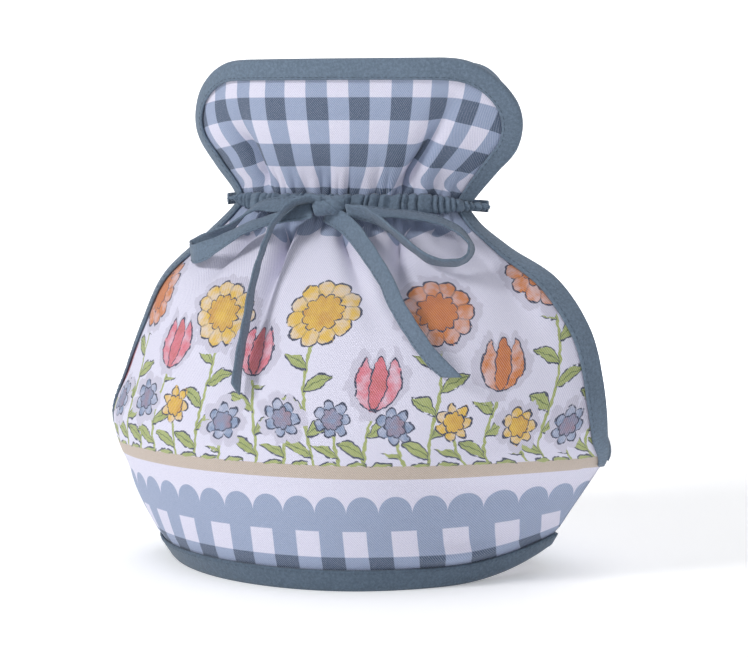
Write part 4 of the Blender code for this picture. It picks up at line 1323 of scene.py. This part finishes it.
def add_knot(cloth, node):
    centre, normal = beyond(cloth, np.array([KNOT_ACROSS]), np.array([KNOT_UP]), 0)
    centre = centre[0] + normal[0] * KNOT_LIFT
    right, rise, near = FRONT_WAYS
    side = right * math.cos(KNOT_SLANT) + rise * math.sin(KNOT_SLANT)
    upright = rise * math.cos(KNOT_SLANT) - right * math.sin(KNOT_SLANT)
    turns = np.linspace(0, 2 * math.pi, 96, endpoint=False)
    share = np.linspace(-1, 1, 61)[:, None]
    swell = 0.58 + 0.42 * np.sqrt(1 - share * share)
    slanted = share + 0.42 * np.cos(turns) - 0.10 * np.sin(turns)
    wrap = 1 + 0.10 * np.tanh((slanted + 0.45) / 0.05) - 0.10 * np.tanh((slanted - 0.55) / 0.05) - 0.12
    crease = 0.07 * np.exp(-(((slanted - 0.05) / 0.06) ** 2))
    crease = crease + 0.05 * np.exp(-(((slanted - 0.3) / 0.05) ** 2))
    fine = 0.02 * np.sin(slanted * 19 + 2 * np.sin(turns))
    size = swell * (wrap - crease + fine)
    sections = centre + side * (share * KNOT_HALF_LENGTH)[..., None]
    sections = sections + upright * (np.cos(turns) * KNOT_HALF_HEIGHT * size)[..., None]
    sections = sections + near * (np.sin(turns) * KNOT_HALF_DEPTH * size)[..., None]
    return loft("knot", sections, BINDING, replaces=[node])


def add_side_tie(name, sign, past, node):
    """The stretch of tie that crosses a slit from one channel to the other."""
    ends = []
    for cloth in (front, back):
        reach = np.array([NECK_REACH])
        place, normal = beyond(cloth, sign * (cloth.half(reach) + past), reach, CASING_TURN)
        ends.append(place[0] + normal[0] * (NECK_THICK / 2 + BINDING_LEG + 2 * GAP + 1.2))
    start, end = ends
    way = (end - start) / np.linalg.norm(end - start)
    start = start + way * SIDE_TIE_INSETS[sign]
    end = end - way * SIDE_TIE_INSETS[sign]
    profile = tape_profile() * np.array([SIDE_TIE_WIDTH / TAPE_WIDTH, 1.0])
    face = np.cross(way, (0.0, 0.0, 1.0))
    sections = []
    for share in np.linspace(0, 1, 9):
        place = start + (end - start) * share + np.array([sign * 0.8 * math.sin(math.pi * share), 0, 0])
        sections.append(place + np.array([0.0, 0.0, 1.0]) * profile[:, :1] + face * profile[:, 1:])
    return loft(name, sections, BINDING, replaces=[node])


knot = add_knot(front, "bow_knot")
side_ties = [
    add_side_tie("left_side_tie", -1.0, CASING_LEFT, "tie_left_side"),
    add_side_tie("right_side_tie", 1.0, CASING_RIGHT, "tie_right_side"),
]
print("knot faces:", len(knot.data.polygons), "side ties:", [tie.name for tie in side_ties])

# %% [markdown]
# ## Stitches
#
# A stitch line is a path on the cloth. A Geometry Nodes tree resamples the path at the stitch
# pitch, sets a small rounded stitch on each point along the path, and makes them real. The tree
# suits a thing that repeats hundreds of times: one stitch is made, and its sizes are inputs.

# %% The stitch tree
STITCH_PITCH = 2.6
STITCH_LENGTH = 1.9
STITCH_THICK = 0.26


def stitch_tree():
    """Path in, stitches out. Its inputs are Pitch, Length, Thickness and Thread."""
    tree = bpy.data.node_groups.new("stitches", "GeometryNodeTree")
    for name, kind in (
        ("Path", "NodeSocketGeometry"),
        ("Pitch", "NodeSocketFloat"),
        ("Length", "NodeSocketFloat"),
        ("Thickness", "NodeSocketFloat"),
        ("Thread", "NodeSocketMaterial"),
    ):
        tree.interface.new_socket(name, in_out="INPUT", socket_type=kind)
    tree.interface.new_socket("Stitches", in_out="OUTPUT", socket_type="NodeSocketGeometry")
    make = tree.nodes.new
    link = tree.links.new
    given = make("NodeGroupInput")
    result = make("NodeGroupOutput")
    to_curve = make("GeometryNodeMeshToCurve")
    resample = make("GeometryNodeResampleCurve")
    resample.mode = "LENGTH"
    ball = make("GeometryNodeMeshUVSphere")
    ball.inputs["Segments"].default_value = 6
    ball.inputs["Rings"].default_value = 4
    ball.inputs["Radius"].default_value = 0.5
    size = make("ShaderNodeCombineXYZ")
    shape = make("GeometryNodeTransform")
    tangent = make("GeometryNodeInputTangent")
    turn = make("FunctionNodeAlignRotationToVector")
    turn.axis = "X"
    place = make("GeometryNodeInstanceOnPoints")
    real = make("GeometryNodeRealizeInstances")
    smooth = make("GeometryNodeSetShadeSmooth")
    dye = make("GeometryNodeSetMaterial")
    link(given.outputs["Path"], to_curve.inputs[0])
    link(to_curve.outputs[0], resample.inputs["Curve"])
    link(given.outputs["Pitch"], resample.inputs["Length"])
    link(given.outputs["Length"], size.inputs[0])
    link(given.outputs["Thickness"], size.inputs[1])
    link(given.outputs["Thickness"], size.inputs[2])
    link(ball.outputs[0], shape.inputs["Geometry"])
    link(size.outputs[0], shape.inputs["Scale"])
    link(tangent.outputs[0], turn.inputs["Vector"])
    link(resample.outputs[0], place.inputs["Points"])
    link(shape.outputs[0], place.inputs["Instance"])
    link(turn.outputs[0], place.inputs["Rotation"])
    link(place.outputs[0], real.inputs[0])
    link(real.outputs[0], smooth.inputs[0])
    link(smooth.outputs[0], dye.inputs["Geometry"])
    link(given.outputs["Thread"], dye.inputs["Material"])
    link(dye.outputs[0], result.inputs[0])
    return tree


STITCHES = stitch_tree()
print("stitch tree nodes:", len(STITCHES.nodes))


def sew(name, path, pitch=STITCH_PITCH, length=STITCH_LENGTH, thick=STITCH_THICK):
    """A row of stitches along a path of points in millimetres."""
    mesh = bpy.data.meshes.new(name)
    edges = [(index, index + 1) for index in range(len(path) - 1)]
    mesh.from_pydata(((path + ORIGIN_SHIFT) * MM).tolist(), edges, [])
    guide = bpy.data.objects.new(name, mesh)
    bpy.context.scene.collection.objects.link(guide)
    sewing = guide.modifiers.new("sewing", "NODES")
    sewing.node_group = STITCHES
    values = {"Pitch": pitch * MM, "Length": length * MM, "Thickness": thick * MM, "Thread": THREAD}
    for socket in STITCHES.interface.items_tree:
        if socket.name in values:
            sewing[socket.identifier] = values[socket.name]
    graph = bpy.context.evaluated_depsgraph_get()
    made = bpy.data.meshes.new_from_object(guide.evaluated_get(graph))
    guide.modifiers.clear()
    guide.data = made
    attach(guide, "root")
    return guide


# %% Stitch lines on the bindings
TOPSTITCH_INSET = 1.1
HEM_LINE_PLACES = 260


def binding_line(cloth, depth, outside=1.0):
    """A path on an edge binding, depth into the cloth from the edge."""
    across, up, run, inward = bound_rim(cloth)
    kept = (run > BINDING_TAPER) & (run < run[-1] - BINDING_TAPER)
    place = across[kept] + inward[kept, 0] * depth
    high = up[kept] + inward[kept, 1] * depth
    lift = BOUND_THICK / 2 + GAP + SLACK + BINDING_LEG + PUCKER_RISE * puckers(run[kept])
    return cloth.surface(place, high) + cloth.normal(place, high) * (outside * lift[:, None])


def hem_line(cloth, depth, outside=1.0):
    share = np.linspace(-0.995, 0.995, HEM_LINE_PLACES)
    up = np.full(HEM_LINE_PLACES, depth)
    across = share * cloth.half(up)
    lift = BOUND_THICK / 2 + GAP + SLACK + BINDING_LEG + PUCKER_RISE * puckers((share + 1) * 109)
    return cloth.surface(across, up) + cloth.normal(across, up) * (outside * lift[:, None])


stitched = [
    sew("front_binding_stitches", binding_line(front, BINDING_WIDTH - TOPSTITCH_INSET)),
    sew("back_binding_stitches", binding_line(back, BINDING_WIDTH - TOPSTITCH_INSET)),
    sew("front_binding_inner_stitches", binding_line(front, BINDING_WIDTH - TOPSTITCH_INSET, -1.0)),
    sew("back_binding_inner_stitches", binding_line(back, BINDING_WIDTH - TOPSTITCH_INSET, -1.0)),
    sew("front_hem_stitches", hem_line(front, HEM_WIDTH - TOPSTITCH_INSET)),
    sew("back_hem_stitches", hem_line(back, HEM_WIDTH - TOPSTITCH_INSET)),
]


# %% Stitch lines on the tape
def tape_line(cloth, ways, share, side):
    """A path along a tape, share of its half width from its middle, on one face."""
    places, widths, run = tape_places(cloth, ways, 1.0)
    wide, face = tape_frame(places, widths)[1:]
    off = side * TAPE_THICK / 2 * 0.55 + tape_bend(run, share)
    path = places + wide * (share * TAPE_WIDTH / 2) + face * off[:, None]
    return path[3:-3]


for name, ways in TAPE_ROUTES.items():
    for side, word in ((1.0, "face"), (-1.0, "back")):
        line = tape_line(front, ways, -0.74, side)
        stitched.append(sew(f"{name}_{word}_stitches", line, 2.2, 1.5, 0.22))
print("stitch rows:", len(stitched), "faces:", sum(len(row.data.polygons) for row in stitched))

# %% [markdown]
# ## Cut sizes
#
# The panel's true flat area is worked out from its cut shape, and each tape's length along its
# route.

heights = np.linspace(0, TOP_REACH, 400)
panel_area = float(np.mean(2 * front.half(heights))) * TOP_REACH * MM * MM
for name, piece in panels.items():
    own = [item for item in stitched if item.name.startswith(name)]
    own.append(front_binding if name == "front" else back_binding)
    own.append(front_channel if name == "front" else back_channel)
for name, piece in tapes.items():
    length = float(tape_places(front, TAPE_ROUTES[name], 1.2)[2][-1]) * MM
    own = [item for item in stitched if item.name.startswith(name)]
print("panel area, square metres:", round(panel_area, 4))

# %% [markdown]
# ## Stage, light and camera
#
# The camera stands at the photograph's angle. The floor curves up into a plain pale wall. The key
# light from the left shapes the folds, a weak fill and a broad light above keep the shadows open,
# and a fourth lights the wall.

# %% Stage
FLOOR_HALF = 2.5
WALL_AT = 1.3
CURVE = 0.6
STAGE_GLOW = 0.24


def add_stage():
    """A pale floor that curves up behind the object."""
    p = Paint("stage")
    p.shader.inputs["Base Color"].default_value = tint(250, 250, 250)
    p.shader.inputs["Roughness"].default_value = 0.9
    p.shader.inputs["Emission Color"].default_value = (1.0, 1.0, 1.0, 1.0)
    p.shader.inputs["Emission Strength"].default_value = STAGE_GLOW
    turn = np.radians(np.linspace(0, 90, 17))
    outline = [(-4.0, 0.0)]
    outline += [(WALL_AT + CURVE * math.sin(a), CURVE - CURVE * math.cos(a)) for a in turn]
    outline += [(WALL_AT + CURVE, 3.0)]
    points = [(x, y, z) for y, z in outline for x in (-FLOOR_HALF, FLOOR_HALF)]
    faces = [(2 * i, 2 * i + 1, 2 * i + 3, 2 * i + 2) for i in range(len(outline) - 1)]
    mesh = bpy.data.meshes.new("stage")
    mesh.from_pydata(points, [], faces)
    mesh.shade_smooth()
    mesh.materials.append(p.material)
    floor = bpy.data.objects.new("stage", mesh)
    bpy.context.scene.collection.objects.link(floor)
    return floor


# %% Lights
Lamp = namedtuple("Lamp", "name at aim size power")
LAMPS = (
    Lamp("key", (-0.74, -0.86, 0.82), (0.0, -0.02, 0.10), 0.34, 8.8),
    Lamp("fill", (0.95, -0.75, 0.40), (0.0, -0.02, 0.10), 0.80, 1.7),
    Lamp("top", (0.05, 0.10, 1.30), (0.0, -0.02, 0.10), 1.00, 3.2),
    Lamp("backdrop", (0.0, 0.50, 0.75), (0.0, 1.90, 0.55), 1.20, 24.0),
)


def add_lamps():
    for lamp in LAMPS:
        light = bpy.data.lights.new(lamp.name, "AREA")
        light.shape = "DISK"
        light.size = lamp.size
        light.energy = lamp.power
        shown = bpy.data.objects.new(lamp.name, light)
        shown.location = lamp.at
        shown.rotation_euler = (Vector(lamp.aim) - Vector(lamp.at)).to_track_quat("-Z", "Y").to_euler()
        bpy.context.scene.collection.objects.link(shown)
    world = bpy.data.worlds.new("studio")
    world.use_nodes = True
    world.node_tree.nodes["Background"].inputs[0].default_value = (0.93, 0.95, 1.0, 1.0)
    world.node_tree.nodes["Background"].inputs[1].default_value = 0.34
    bpy.context.scene.world = world


# %% Camera
def add_camera():
    camera = bpy.data.cameras.new("camera")
    camera.lens = LENS
    camera.sensor_width = SENSOR
    shown = bpy.data.objects.new("camera", camera)
    shown.location = CAMERA_AT
    shown.rotation_euler = camera_look().to_track_quat("-Z", "Y").to_euler()
    bpy.context.scene.collection.objects.link(shown)
    bpy.context.scene.camera = shown


add_stage()
add_lamps()
add_camera()
bpy.context.scene.view_settings.view_transform = "Standard"
print("lamps:", [lamp.name for lamp in LAMPS])

# %% [markdown]
